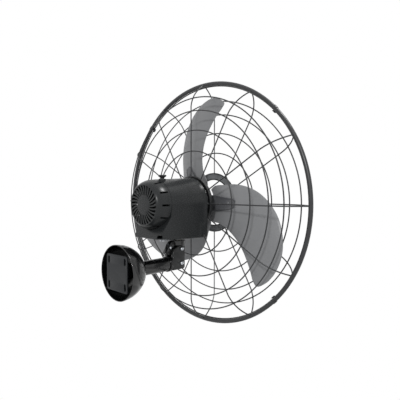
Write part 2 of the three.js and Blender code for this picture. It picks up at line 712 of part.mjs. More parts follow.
const spigotRadius = REAR_COVER_RADIUS - 5;
const housingOuter = cut(housingBody(HOUSING_FRONT, HOUSING_CHIN_BACK, 0), behindChin(0));
const housingInner = cut(
  housingBody(HOUSING_FRONT - 2, HOUSING_CHIN_BACK - HOUSING_WALL, HOUSING_WALL), behindChin(HOUSING_WALL));
const housingShell = cut(housingOuter, housingInner);
const skirtBack = HOUSING_FRONT + SKIRT_DEPTH;
const skirtClear = block(-90, 90, HOUSING_FRONT - 5, skirtBack + GAP, -90, GAP - SKIRT_TOP);

const crankStation = WHEEL_STATION - CRANK_SETBACK;
const swivelStation = crankStation - CRANK_DISTANCE;
const socketDrop = AXIS_RISE - socketBottom;
const innerFloor = HOUSING_WALL - HOUSING_BOTTOM;
const floorAt = (station) => HOUSING_WALL - bottomAt(station);

function motorHousing() {
  const coverRoom = rod('y', REAR_COVER_RADIUS + GAP, HOUSING_BACK, HOUSING_BACK + 60, 40);
  const rearOpening = rod('y', spigotRadius + GAP, HOUSING_BACK - 15, HOUSING_BACK + 5, 40);
  const lowBoss = rod('z', SWIVEL_BOSS_RADIUS, -socketDrop, innerFloor, 20);
  const base = rod('z', SWIVEL_BOSS_RADIUS + 4, innerFloor - 2, floorAtSwivel + 17 - GAP - AXIS_RISE, 20);
  const swivelBoss = join(lowBoss, base).translate([0, swivelStation, 0]);
  const pinHole = rod('z', SWIVEL_PIN_DIAMETER / 2 + GAP, -100, -40, 16).translate([0, swivelStation, 0]);
  const crankHole = rod('z', CRANK_SHAFT_DIAMETER / 2 + GAP, -100, -50, 12).translate([0, crankStation, 0]);
  const postTop = -GEARBOX_BOTTOM - GAP;
  const frontPost = block(-8, 8, boxFront + 2, boxFront + 10, innerFloor - 0.5, postTop);
  const backPost = block(-8, 8, boxBack - 12, boxBack - 4, innerFloor - 0.5, postTop);
  const knobPlace = [-WHEEL_OFFSET, WHEEL_STATION, 0];
  const knobCollar = rod('z', KNOB_DIAMETER / 2 - 1.5, 51, KNOB_COLLAR, 16).translate(knobPlace);
  const knobHole = rod('z', KNOB_STEM_DIAMETER / 2 + RUNNING_GAP, 40, 80, 16).translate(knobPlace);
  const notchTop = 4.5 - HOUSING_CHIN_BOTTOM;
  const notch = block(-44, -33, HOUSING_CHIN_BACK - 9, HOUSING_CHIN_BACK + 3, -90, notchTop);
  const shell = cut(housingShell, skirtClear, coverRoom, rearOpening);
  return cut(join(shell, swivelBoss, frontPost, backPost, knobCollar), pinHole, crankHole, knobHole, notch);
}

const postReach = REAR_CENTRE_INNER + GUARD_POST_RADIUS;
const postPlaces = [];
for (let i = 0; i < GUARD_POSTS; i += 1) postPlaces.push(polar(postReach, 90 + (360 / GUARD_POSTS) * i, 0));
const ringBack = REAR_PLANE - WIRE_DIAMETER / 2 - GAP;
const ringFront = ringBack - CENTRE_RING_THICKNESS;
const flangeBack = HOUSING_FRONT - GAP;
const flangeFront = flangeBack - COVER_FLANGE;

// The flange that closes the front, with a spigot inside the housing, the box-shaped skirt below,
// a boss round the bearing and the posts that carry the grille.
function frontCover() {
  const outer = housingSection(HOUSING_FRONT, 0);
  const move = (section, station) => section.map(([x, , z]) => [x, station, z]);
  const flange = loft([move(outer, flangeFront), move(outer, flangeBack)]);
  const lip = housingSection(flangeBack + COVER_SPIGOT, HOUSING_WALL + GAP * 2);
  const lipInner = housingSection(flangeBack + COVER_SPIGOT, HOUSING_WALL * 2 + GAP);
  const spigot = cut(
    loft([move(lip, flangeBack - 1), move(lip, flangeBack + COVER_SPIGOT)]),
    loft([move(lipInner, flangeBack), move(lipInner, flangeBack + COVER_SPIGOT + 1)]));
  const strip = block(-90, 90, flangeBack - 1, skirtBack, -90, -SKIRT_TOP);
  const skirt = cut(housingBody(flangeBack - 1, HOUSING_CHIN_BACK, 0), housingInner).intersect(strip);
  const boss = turned([
    [COVER_BOSS_FRONT, 0], [COVER_BOSS_FRONT, BEARING_BOSS_RADIUS + 3.5],
    [flangeFront + 0.5, COVER_BOSS_RADIUS], [flangeFront + 0.5, 0],
  ], 24);
  const bellHole = rod('y', BEARING_BOSS_RADIUS + GAP, 0, 90, 24);
  let cover = join(flange, spigot, skirt, boss);
  let holes = bellHole;
  for (const [x, , z] of postPlaces) {
    cover = join(cover, rod('y', GUARD_POST_RADIUS, ringBack + GAP, flangeBack - 1, 12).translate([x, 0, z]));
    const depth = ringFront + RING_SCREW_LENGTH + GAP;
    holes = join(holes, rod('y', RING_SCREW_DIAMETER / 2 + GAP, ringFront, depth, 8).translate([x, 0, z]));
  }
  const screwHole = rod('x', COVER_SCREW_DIAMETER / 2 + GAP, -90, 90, 8);
  const sides = screwHole.translate([0, COVER_SCREW_STATION, COVER_SCREW_RISE - HOUSING_BOTTOM]);
  return cut(cover, holes, sides);
}

// The cup behind the housing: swirled vents in its end, slots round its side.
function rearCover() {
  const wall = REAR_COVER_WALL;
  const base = HOUSING_BACK + GAP;
  const end = REAR_COVER_BACK;
  const outer = [
    [base, REAR_COVER_RADIUS], [end - 12, REAR_COVER_RADIUS - 2.5], [end - 5, REAR_COVER_RADIUS - 5],
    [end, REAR_DISC_RADIUS], [end - 0.8, REAR_DISC_RADIUS - 2], [end - 0.8, REAR_HUB_RADIUS + 1],
    [end, REAR_HUB_RADIUS], [end, 0],
  ];
  const inner = [
    [end - wall - 0.8, 0], [end - wall - 0.8, REAR_DISC_RADIUS - 2], [end - 12, REAR_COVER_RADIUS - 3 - wall],
    [base - REAR_SPIGOT, spigotRadius - wall], [base - REAR_SPIGOT, spigotRadius], [base, spigotRadius],
  ];
  const cover = turned([...outer, ...inner], 28);
  const vent = new THREE.Shape();
  const [inside, outside, half] = [REAR_HUB_RADIUS + 2.5, REAR_DISC_RADIUS - 3, SWIRL_WIDTH / 2];
  const shift = outside * Math.sin(degrees(SWIRL_TURN));
  vent.moveTo(-half * 0.55, inside);
  vent.lineTo(half * 0.55, inside);
  vent.lineTo(half + shift, outside);
  vent.lineTo(shift - half, outside);
  vent.closePath();
  const blade = facePlate(vent, end + 2, 8);
  const vents = [];
  for (let i = 0; i < SWIRL_VENTS; i += 1) vents.push(blade.rotate([0, (360 / SWIRL_VENTS) * i, 0]));
  const slot = block(-SIDE_VENT_WIDTH / 2, SIDE_VENT_WIDTH / 2, SIDE_VENT_FRONT, SIDE_VENT_BACK - 4, 40, 70);
  for (let i = 0; i < SIDE_VENTS; i += 1) vents.push(slot.rotate([0, (360 / SIDE_VENTS) * i, 0]));
  return cut(cover, ...vents);
}

// Round-headed screws in the sides of the skirt: side is -1 or 1.
function coverScrew(side) {
  const lowCorners = housingSection(COVER_SCREW_STATION, 0).slice(-6);
  const under = Math.max(...lowCorners.map(([x]) => x));
  const head = rod('x', COVER_SCREW_HEAD / 2, side * (under + GAP), side * (under + GAP + 1.6), 8);
  const tip = side * (under - COVER_SCREW_LENGTH);
  const shank = rod('x', COVER_SCREW_DIAMETER / 2, side * (under + 1), tip, 8);
  return join(head, shank);
}

function oscillationKnob() {
  const radius = KNOB_DIAMETER / 2;
  const stem = KNOB_STEM_DIAMETER / 2;
  const top = KNOB_TOP;
  const rodBottom = wheelShaftTop + GAP;
  const profile = [
    [rodBottom, 0], [rodBottom, KNOB_ROD_DIAMETER / 2], [40, KNOB_ROD_DIAMETER / 2], [40, stem],
    [top - KNOB_CAP - 3, stem], [top - KNOB_CAP, radius - 1], [top - 1.4, radius], [top, radius - 3],
    [top, 0],
  ];
  const knob = new THREE.LatheGeometry(profile.map(([z, r]) => new THREE.Vector2(r, z)), 16);
  knob.rotateX(Math.PI / 2);
  return solid(knob);
}

// ---------------------------------------------------------------- motor and gearbox

const shaftRadius = SHAFT_DIAMETER / 2;

function motorShaft() {
  return join(
    rod('y', shaftRadius, SHAFT_FRONT, REAR_BELL_BACK + 2, 16),
    rod('y', WORM_RADIUS - 1.2, REAR_BELL_BACK, SHAFT_BACK, 12));
}

function worm() {
  const turns = [];
  const pitch = 4;
  const bore = WORM_RADIUS - 1.2 + GAP;
  for (let y = WORM_FRONT; y < SHAFT_BACK - 3; y += pitch) {
    turns.push([y, WORM_RADIUS - 0.6], [y + pitch * 0.35, WORM_RADIUS], [y + pitch * 0.7, WORM_RADIUS]);
  }
  const last = turns[turns.length - 1][0];
  return turned([...turns, [last, bore], [WORM_FRONT, bore]], 12);
}

const rotorBack = STATOR_BACK + 2;
const rotorFront = STATOR_FRONT - 2;

function rotorCore() {
  return ring('y', ROTOR_RADIUS - RUNNING_GAP, shaftRadius + GAP, rotorFront, rotorBack, 20);
}

function statorCore() {
  return ring('y', STATOR_RADIUS, ROTOR_RADIUS, STATOR_FRONT, STATOR_BACK, 24);
}

function winding(from, to) {
  const inner = ROTOR_RADIUS + 3;
  const outer = STATOR_RADIUS - 3;
  const middle = (from + to) / 2;
  const swell = 2;
  return turned([
    [from, inner + swell], [middle, inner], [to, inner + swell], [to, outer - swell], [middle, outer],
    [from, outer - swell],
  ], 16);
}

// An end bell: a bearing boss, a web and a rim that holds the stator.
function endBell(bossEnd, webFace, rimEnd) {
  const seat = BEARING_RADIUS + GAP;
  const rimInner = STATOR_RADIUS + GAP;
  const rimOuter = rimInner + 2.4;
  const way = Math.sign(rimEnd - webFace);
  const web = webFace + way * BELL_WALL;
  const overlap = rimEnd + way * 5;
  const bearingStop = bossEnd + way * 2;
  return turned([
    [bossEnd, shaftRadius + RUNNING_GAP], [bossEnd, BEARING_BOSS_RADIUS], [webFace, BEARING_BOSS_RADIUS],
    [webFace, rimOuter], [overlap, rimOuter], [overlap, rimInner], [rimEnd, rimInner],
    [rimEnd, rimInner - 2], [web, rimInner - 2], [web, seat], [bearingStop, seat],
    [bearingStop, shaftRadius + RUNNING_GAP],
  ], 24);
}

function bearing(from) {
  const edge = 1;
  const outer = BEARING_RADIUS;
  const inner = shaftRadius + GAP;
  const to = from + BEARING_WIDTH;
  return turned([
    [from, inner], [from, outer - edge], [from + edge, outer], [to - edge, outer], [to, outer - edge],
    [to, inner],
  ], 12);
}

const gearSpan = Math.hypot(WHEEL_OFFSET, WHEEL_STATION - crankStation);
const pinionPitch = (gearSpan * PINION_TEETH) / (PINION_TEETH + CRANK_GEAR_TEETH);
const crankGearPitch = gearSpan - pinionPitch;
const gearBottom = GEARBOX_WALL + GAP - GEARBOX_BOTTOM;
const gearTop = -GEARBOX_TOP - GEARBOX_WALL - GAP;
const wheelShaftTop = 4;

// Worm wheel, upright shaft and pinion in one moulding.
function wormWheel() {
  const tip = WHEEL_OFFSET - WORM_RADIUS - GAP;
  const wheel = floorPlate(gearOutline(tip - GEAR_TOOTH + GAP * 2, WHEEL_TEETH), -3, 3);
  const shaft = rod('z', WHEEL_SHAFT_DIAMETER / 2, gearBottom, wheelShaftTop, 12);
  const pinion = floorPlate(gearOutline(pinionPitch, PINION_TEETH), gearBottom, gearTop);
  return join(wheel, shaft, pinion);
}

function crankGear() {
  const outline = gearOutline(crankGearPitch, CRANK_GEAR_TEETH);
  const wheel = floorPlate(outline, gearBottom + 1, gearTop - 2);
  const hub = rod('z', CRANK_SHAFT_DIAMETER / 2 + 4, gearBottom, gearTop, 12);
  return cut(join(wheel, hub), rod('z', CRANK_SHAFT_DIAMETER / 2 + GAP, -90, 0, 12));
}

const boxLeft = -crankGearPitch - GEARBOX_WALL - 2;
const boxRight = -boxLeft;
const boxFront = crankStation + boxLeft;
const boxBack = WHEEL_STATION + pinionPitch + GEAR_TOOTH + GEARBOX_WALL;

function gearboxCase() {
  const wall = GEARBOX_WALL;
  const [floor, rim] = [-GEARBOX_BOTTOM, -GEARBOX_TOP - wall - GAP];
  const room = block(boxLeft + wall, boxRight - wall, boxFront + wall, boxBack - wall, floor + wall, 0);
  const tray = cut(block(boxLeft, boxRight, boxFront, boxBack, floor, rim), room);
  const crankBore = rod('z', CRANK_SHAFT_DIAMETER / 2 + GAP, -90, 0, 12).translate([0, crankStation, 0]);
  return cut(tray, crankBore);
}

// Lid of the gear tray, with a column for the upright shaft and a hood over the worm wheel.
function gearboxLid() {
  const wall = GEARBOX_WALL;
  const reach = WHEEL_OFFSET - WORM_RADIUS + 1;
  const hoodTop = wheelShaftTop + 4;
  const hoodBottom = -3 - wall - 1;
  const [left, right] = [-WHEEL_OFFSET - reach - wall, shaftRadius + wall];
  const [front, back] = [REAR_BELL_BACK + 2, WHEEL_STATION + reach + wall];
  const lid = block(boxLeft, boxRight, boxFront, boxBack, -GEARBOX_TOP - wall, -GEARBOX_TOP);
  const hood = block(left, right, front, back, hoodBottom, hoodTop);
  const room = block(left + wall, right - wall, front + wall, back - wall, hoodBottom + wall, hoodTop - wall);
  const bore = WHEEL_SHAFT_DIAMETER / 2 + GAP;
  const wheelPlace = [-WHEEL_OFFSET, WHEEL_STATION, 0];
  const column = rod('z', bore + wall, -GEARBOX_TOP - 1, hoodBottom + 1, 12).translate(wheelPlace);
  const wheelBore = rod('z', bore, -90, 0, 12).translate(wheelPlace);
  const knobBore = rod('z', KNOB_ROD_DIAMETER / 2 + GAP, 0, 30, 12).translate(wheelPlace);
  const shaftWay = rod('y', WORM_RADIUS + RUNNING_GAP, 90, 200, 12);
  return cut(join(lid, hood, column), room, shaftWay, wheelBore, knobBore);
}

function capacitor() {
  const outline = roundedRectangle(CAPACITOR_WIDTH, CAPACITOR_DEPTH, 3);
  return floorPlate(outline, 0, CAPACITOR_HEIGHT, 4);
}

// ---------------------------------------------------------------- grille

// A wire bent along a path. Its section has few sides, and the area of the round wire.
const WIRE_SIDES = 4;
const wireTurn = (2 * Math.PI) / WIRE_SIDES;
const wireReach = (WIRE_DIAMETER / 2) * Math.sqrt(wireTurn / Math.sin(wireTurn));

function wire(path, steps) {
  const section = new THREE.Shape();
  for (let i = 0; i < WIRE_SIDES; i += 1) {
    const angle = (Math.PI * 2 * (i + 0.5)) / WIRE_SIDES;
    const point = [wireReach * Math.cos(angle), wireReach * Math.sin(angle)];
    if (i === 0) section.moveTo(...point);
    else section.lineTo(...point);
  }
  section.closePath();
  return solid(new THREE.ExtrudeGeometry(section, { steps, extrudePath: path }));
}

// A ring of wire.
function wireRing(radius, station, segments) {
  return hoop(radius, station, wireReach * 2, WIRE_SIDES, segments);
}

const EDGE_SEGMENTS = 48;

// A closed ring of wire or rod about the fan's axis, with no corner on a spoke.
function hoop(radius, station, thickness, sides, segments) {
  const torus = new THREE.TorusGeometry(radius, thickness / 2, sides, segments);
  torus.rotateX(Math.PI / 2);
  torus.rotateY(Math.PI / segments);
  return solid(torus).translate([0, station, 0]);
}

const hoopRadius = (GRILLE_DIAMETER - HOOP_DIAMETER) / 2;
const guardShoulder = hoopRadius - SHOULDER_INSET;

// Spokes run flat from the centre ring and curve at the shoulder to the hoop.
function guardWires(plane, edge, edgeRadius, innerRadius) {
  const flat = new THREE.LineCurve3(
    new THREE.Vector3(0, plane, innerRadius), new THREE.Vector3(0, plane, guardShoulder + 1));
  const bend = new THREE.QuadraticBezierCurve3(
    new THREE.Vector3(0, plane, guardShoulder),
    new THREE.Vector3(0, mix(plane, edge, 0.12), mix(guardShoulder, edgeRadius, 0.6)),
    new THREE.Vector3(0, edge, edgeRadius));
  const spoke = join(wire(flat, 1), wire(bend, 3));
  const spokes = [];
  for (let i = 0; i < SPOKES; i += 1) spokes.push(spoke.rotate([0, (360 / SPOKES) * i, 0]));
  const inward = -Math.sign(plane) * WIRE_DIAMETER * 0.55;
  const rings = RING_INSETS.map((inset) => {
    const radius = hoopRadius - inset;
    const segments = radius < 200 ? 24 : 36;
    return wireRing(radius, spokeStation(bend, plane, radius) + inward, segments);
  });
  return join(...spokes, ...rings);
}

// Station of a spoke's middle at a radius.
function spokeStation(bend, plane, radius) {
  if (radius <= guardShoulder) return plane;
  const steps = 200;
  for (let i = 0; i <= steps; i += 1) {
    const point = bend.getPoint(i / steps);
    if (point.z >= radius) return point.y;
  }
  return bend.getPoint(1).y;
}

// The rear guard is one weldment: hoop, spokes and rings.
function rearGuard() {
  const outer = hoop(hoopRadius, 0, HOOP_DIAMETER, 6, EDGE_SEGMENTS);
  const weldRadius = hoopRadius - REAR_WELD_INSET;
  return join(outer, guardWires(REAR_PLANE, REAR_EDGE, weldRadius, REAR_CENTRE_OUTER - SPOKE_LAP));
}

// The front guard's edge wire lies against the inside of the hoop.
const frontEdgeRadius = hoopRadius - Math.sqrt((HOOP_DIAMETER / 2 + wireReach + GAP) ** 2 - FRONT_EDGE ** 2);

function frontGuard() {
  const edge = wireRing(frontEdgeRadius, FRONT_EDGE, EDGE_SEGMENTS);
  return join(edge, guardWires(FRONT_PLANE, FRONT_EDGE, frontEdgeRadius, FRONT_CENTRE_OUTER - SPOKE_LAP));
}

// A pressed ring against the inner side of the spokes, with a rim raised at both edges.
function centreRing(outer, inner, plane) {
  const way = -Math.sign(plane);
  const back = plane + way * (WIRE_DIAMETER / 2 + GAP);
  const front = back + way * CENTRE_RING_THICKNESS;
  const raised = front + way * CENTRE_RIM;
  return turned([
    [back, inner], [raised, inner], [raised, inner + CENTRE_RIM], [front, inner + CENTRE_RIM],
    [front, outer - CENTRE_RIM], [raised, outer - CENTRE_RIM], [raised, outer], [back, outer],
  ], 24);
}

function rearCentreRing() {
  const hole = rod('y', RING_SCREW_DIAMETER / 2 + GAP, 0, 90, 8);
  const holes = [];
  for (const [x, , z] of postPlaces) holes.push(hole.translate([x, 0, z]));
  return cut(centreRing(REAR_CENTRE_OUTER, REAR_CENTRE_INNER - CENTRE_RIM, REAR_PLANE), ...holes);
}

// Pan-headed screw through the rear centre ring into a post of the front cover.
function ringScrew() {
  const head = rod('y', RING_SCREW_HEAD / 2, ringFront - GAP - 1.6, ringFront - GAP, 8);
  const shank = rod('y', RING_SCREW_DIAMETER / 2, ringFront - GAP - 1, ringFront + RING_SCREW_LENGTH, 8);
  return join(head, shank);
}

// A spring strip hooked over the hoop and under the front guard's edge wire.
// Drawn at the top of the hoop, whose middle is at zero.
function guardClip() {
  const inner = HOOP_DIAMETER / 2 + GAP;
  const outer = inner + CLIP_WALL;
  const face = FRONT_EDGE - wireReach - GAP;
  const sag = frontEdgeRadius * (1 - Math.cos(Math.PI / EDGE_SEGMENTS));
  const sill = frontEdgeRadius - hoopRadius - sag - wireReach - GAP;
  const start = degrees(20);
  const stop = degrees(145);
  const outline = new THREE.Shape();
  outline.absarc(0, 0, inner, start, stop, false);
  outline.lineTo(face, -1);
  outline.lineTo(face, sill);
  outline.lineTo(FRONT_EDGE + WIRE_DIAMETER / 2, sill);
  outline.lineTo(FRONT_EDGE + WIRE_DIAMETER / 2, sill - CLIP_WALL);
  outline.lineTo(face - CLIP_WALL, sill - CLIP_WALL);
  outline.lineTo(face - CLIP_WALL, -1);
  outline.absarc(0, 0, outer, stop, start, true);
  outline.closePath();
  return sidePlate(outline, -CLIP_WIDTH / 2, CLIP_WIDTH / 2, 6);
}

// ---------------------------------------------------------------- rotor

const BLADE_ROWS = 12;
const BLADE_COLUMNS = 5;

const bladeRoot = LEADING_EDGE[0][0];
const drawnTip = LEADING_EDGE[LEADING_EDGE.length - 1][0];
const tipRadius = hoopRadius - HOOP_DIAMETER / 2 - TIP_ROOM;
const bladeStretch = (tipRadius - bladeRoot) / (drawnTip - bladeRoot);

// One edge of a blade, stretched along the radius so that the tip clears the hoop.
function edgeCurve(edge) {
  const corners = edge.map(([radius, angle, station]) => new THREE.Vector3(
    bladeRoot + (radius - bladeRoot) * bladeStretch, angle, station));
  return new THREE.CatmullRomCurve3(corners, false, 'centripetal');
}

const trailingCurve = edgeCurve(TRAILING_EDGE);
const leadingCurve = edgeCurve(LEADING_EDGE);

// A place on the blade at a share of its span and chord, so far behind its middle surface.
function bladePoint(span, chord, behind) {
  const point = trailingCurve.getPoint(span).lerp(leadingCurve.getPoint(span), chord);
  const camber = BLADE_CAMBER * 4 * chord * (1 - chord);
  return polar(point.x, point.y, point.z + camber + behind);
}

// Joins rows of places, front face and back face, into one closed plate.
function plateFromRows(rows) {
  const count = rows[0].length;
  const half = count / 2;
  const index = [];
  for (let row = 0; row + 1 < rows.length; row += 1) {
    for (let i = 0; i < count; i += 1) {
      const a = row * count + i;
      const b = row * count + ((i + 1) % count);
      index.push(a, b, a + count, b, b + count, a + count);
    }
  }
  const last = (rows.length - 1) * count;
  for (let i = 0; i + 1 < half; i += 1) {
    const [a, b, c, d] = [i, i + 1, count - 2 - i, count - 1 - i];
    index.push(a, c, b, a, d, c);
    index.push(last + a, last + b, last + c, last + a, last + c, last + d);
  }
  const geometry = new THREE.BufferGeometry();
  geometry.setAttribute('position', new THREE.Float32BufferAttribute(rows.flat(2), 3));
  geometry.setIndex(index);
  return solid(geometry);
}

function blade() {
  const rows = [];
  for (let i = 0; i <= BLADE_ROWS; i += 1) {
    const span = i / BLADE_ROWS;
    const row = [];
    const half = BLADE_THICKNESS / 2;
    for (let j = 0; j <= BLADE_COLUMNS; j += 1) row.push(bladePoint(span, j / BLADE_COLUMNS, half));
    for (let j = BLADE_COLUMNS; j >= 0; j -= 1) row.push(bladePoint(span, j / BLADE_COLUMNS, -half));
    rows.push(row);
  }
  return cut(plateFromRows(rows), rivetHole());
}

// Share of the span at a radius.
function spanAt(radius) {
  let low = 0;
  let high = 1;
  for (let i = 0; i < 30; i += 1) {
    const middle = (low + high) / 2;
    if (leadingCurve.getPoint(middle).x < radius) low = middle;
    else high = middle;
  }
  return low;
}

// Share of the chord at a span and an angle.
function chordAt(span, angle) {
  const from = trailingCurve.getPoint(span).y;
  const to = leadingCurve.getPoint(span).y;
  return (angle - from) / (to - from);
}

// A place on a spider arm: flat near the hub, then along the back of the blade.
function armPoint(radius, aside, behind) {
  const angle = SPIDER_ANGLE + THREE.MathUtils.radToDeg(aside / radius);
  if (radius < bladeRoot) return polar(radius, angle, SPIDER_PLANE + behind);
  const span = spanAt(radius);
  return bladePoint(span, chordAt(span, angle), BLADE_THICKNESS / 2 + SPIDER_GAP + behind);
}

function spiderArm() {
  const across = [-1, -0.78, 0, 0.78, 1];
  const rows = SPIDER_ARM.map(([radius, half]) => {
    const raised = across.map((share) => {
      const edge = Math.abs(share) === 1 ? SPIDER_EDGE : 0;
      return armPoint(radius, share * half, SPIDER_THICKNESS + edge);
    });
    const flat = across.map((share) => armPoint(radius, share * half, 0));
    return [...raised, ...flat.reverse()];
  });
  return plateFromRows(rows);
}

// The rivet's place and direction, square to the blade where the arm crosses it.
function rivetFrame() {
  const span = spanAt(RIVET_RADIUS);
  const chord = chordAt(span, SPIDER_ANGLE);
  const at = (s, c) => new THREE.Vector3(...bladePoint(s, c, 0));
  const along = at(span + 0.01, chord).sub(at(span - 0.01, chord));
  const aside = at(span, chord + 0.01).sub(at(span, chord - 0.01));
  const normal = along.cross(aside).normalize();
  if (normal.y < 0) normal.negate();
  const turn = new THREE.Quaternion().setFromUnitVectors(new THREE.Vector3(0, 1, 0), normal);
  return new THREE.Matrix4().compose(at(span, chord), turn, new THREE.Vector3(1, 1, 1));
}

function placed(profile, segments) {
  const outline = [...profile, profile[0]].map(([station, radius]) => new THREE.Vector2(radius, station));
  const geometry = new THREE.LatheGeometry(outline, segments);
  geometry.applyMatrix4(rivetFrame());
  return solid(geometry);
}

function rivetHole() {
  const radius = RIVET_DIAMETER / 2 + GAP;
  return placed([[-20, 0], [-20, radius], [20, radius], [20, 0]], 10);
}

function bladeRivet() {
  const [shank, head] = [RIVET_DIAMETER / 2, RIVET_HEAD / 2];
  const front = -BLADE_THICKNESS / 2 - GAP;
  const back = BLADE_THICKNESS / 2 + SPIDER_GAP + SPIDER_THICKNESS + GAP;
  return placed([
    [front - 1, 0], [front - 1, head - 1], [front, head - 1], [front, shank], [back, shank], [back, head],
    [back + 1.2, head - 0.8], [back + 2, head - 2.4], [back + 2, 0],
  ], 8);
}

function fanSpider() {
  const disc = turned([
    [SPIDER_PLANE, HUB_NECK_RADIUS + GAP], [SPIDER_PLANE + SPIDER_THICKNESS, HUB_NECK_RADIUS + GAP],
    [SPIDER_PLANE + SPIDER_THICKNESS, SPIDER_DISC_RADIUS], [SPIDER_PLANE, SPIDER_DISC_RADIUS],
  ], 20);
  const hole = rod('y', HUB_NECK_RADIUS + GAP, -50, 50, 20);
  const seat = rod('y', HUB_RADIUS + RUNNING_GAP, SPIDER_PLANE + SPIDER_THICKNESS, 60, 24);
  const arm = cut(spiderArm(), hole, rivetHole());
  const arms = [];
  for (let i = 0; i < BLADES; i += 1) arms.push(arm.rotate([0, (-360 / BLADES) * i, 0]));
  return cut(join(disc, ...arms), seat);
}

function fanHub() {
  const bore = shaftRadius + GAP;
  const seat = SPIDER_PLANE + SPIDER_THICKNESS + GAP;
  return turned([
    [HUB_BACK, bore], [HUB_BACK, HUB_RADIUS - 5], [HUB_BACK - 2, HUB_RADIUS - 2], [HUB_BACK - 5, HUB_RADIUS],
    [seat, HUB_RADIUS], [seat, HUB_NECK_RADIUS], [HUB_FRONT, HUB_NECK_RADIUS], [HUB_FRONT, bore],
  ], 20);
}

function hubClamp() {
  const back = SPIDER_PLANE - GAP;
  const bore = HUB_NECK_RADIUS + GAP;
  return turned([
    [back, bore], [back, CLAMP_RADIUS], [back - CLAMP_THICKNESS, CLAMP_RADIUS - 1.5],
    [back - CLAMP_THICKNESS, bore],
  ], 16);
}

function capNut() {
  const radius = CAP_NUT_DIAMETER / 2;
  const bore = shaftRadius + GAP;
  const back = HUB_FRONT - GAP;
  const floor = SHAFT_FRONT - GAP;
  return turned([
    [back, bore], [back, radius], [floor + 4, radius], [floor - 1, radius - 3], [floor - 2.5, 0], [floor, 0],
    [floor, bore],
  ], 12);
}

// ---------------------------------------------------------------- assembly

const fan = new THREE.Group();
fan.name = 'wall_fan';

function addArm() {
  part(fan, 'wall_plate', wallPlate(), PLATE_GREY);
  part(fan, 'canopy', canopy(), GLOSS_BLACK);
  part(fan, 'canopy_grommet', canopyGrommet(), RUBBER);
  part(fan, 'arm_tube', armTube(), GLOSS_BLACK);
  part(fan, 'arm_set_screw', armSetScrew(), STEEL);
  part(fan, 'arm_end_ring', armEndRing(), SATIN_BLACK);
}

function addBracket() {
  const bracket = new THREE.Group();
  bracket.position.set(0, -pivotReach, 0);
  part(bracket, 'arm_fork', armFork(), SATIN_BLACK);
  part(bracket, 'tilt_pivot_bolt', bolt(), ZINC);
  part(bracket, 'tilt_pivot_nut', pivotNut(), ZINC);
  part(bracket, 'tilt_lock_bolt', bolt(), ZINC).position.z = LOCK_RISE;
  part(bracket, 'tilt_wing_nut', wingNut(), ZINC).position.z = LOCK_RISE;
  part(bracket, 'tilt_neck', tiltNeck(), SATIN_BLACK);
  part(bracket, 'swivel_pin', swivelPin(), STEEL);
  part(bracket, 'swivel_washer', swivelWasher(), NYLON);
  part(bracket, 'link_stud', linkStud(), ZINC).position.x = STUD_OFFSET;
  const link = part(bracket, 'oscillation_link', oscillationLink(), ZINC);
  link.position.x = STUD_OFFSET;
  link.rotation.z = linkRest;
  fan.add(bracket);
}

function addMotor(head) {
  const frontWeb = HOUSING_FRONT;
  part(head, 'motor_housing', motorHousing(), CHARCOAL);
  part(head, 'front_cover', frontCover(), CHARCOAL);
  part(head, 'rear_cover', rearCover(), CHARCOAL);
  part(head, 'front_cover_screw_left', coverScrew(-1), ZINC).position
    .set(0, COVER_SCREW_STATION, COVER_SCREW_RISE - HOUSING_BOTTOM);
  part(head, 'front_cover_screw_right', coverScrew(1), ZINC).position
    .set(0, COVER_SCREW_STATION, COVER_SCREW_RISE - HOUSING_BOTTOM);
  part(head, 'front_bell', endBell(FRONT_BELL_FRONT, frontWeb, STATOR_FRONT - GAP), CAST);
  part(head, 'rear_bell', endBell(REAR_BELL_BACK, REAR_BELL_WEB, STATOR_BACK + GAP), CAST);
  part(head, 'front_bearing', bearing(FRONT_BELL_FRONT + 2 + GAP), STEEL);
  part(head, 'rear_bearing', bearing(REAR_BELL_BACK - 2 - GAP - BEARING_WIDTH), STEEL);
  part(head, 'stator_core', statorCore(), STEEL);
  part(head, 'winding_front', winding(STATOR_FRONT - GAP - WINDING_LENGTH, STATOR_FRONT - GAP), COPPER);
  part(head, 'winding_rear', winding(STATOR_BACK + GAP, STATOR_BACK + GAP + WINDING_LENGTH), COPPER);
  const capacitorFloor = floorAt(swivelStation + CAPACITOR_DEPTH / 2) + GAP * 2;
  part(head, 'capacitor', capacitor(), SATIN_BLACK).position
    .set(HOUSING_BOX_HALF_WIDTH - CAPACITOR_INSET, swivelStation, capacitorFloor);
}

function addGears(head) {
  const mesh = Math.atan2(crankStation - WHEEL_STATION, WHEEL_OFFSET);
  part(head, 'gearbox_case', gearboxCase(), CAST);
  part(head, 'gearbox_lid', gearboxLid(), CAST);
  const knob = part(head, 'oscillation_knob', oscillationKnob(), SATIN_BLACK);
  knob.position.set(-WHEEL_OFFSET, WHEEL_STATION, 0);
  const wheel = part(head, 'worm_wheel', wormWheel(), BRASS);
  wheel.position.set(-WHEEL_OFFSET, WHEEL_STATION, 0);
  wheel.rotation.z = mesh;
  const gear = part(head, 'crank_gear', crankGear(), NYLON);
  gear.position.set(0, crankStation, 0);
  gear.rotation.z = mesh + Math.PI + Math.PI / CRANK_GEAR_TEETH;
  const crank = part(head, 'oscillation_crank', oscillationCrank(), STEEL);
  crank.position.set(0, crankStation, -AXIS_RISE);
  crank.rotation.z = crankRest;
}

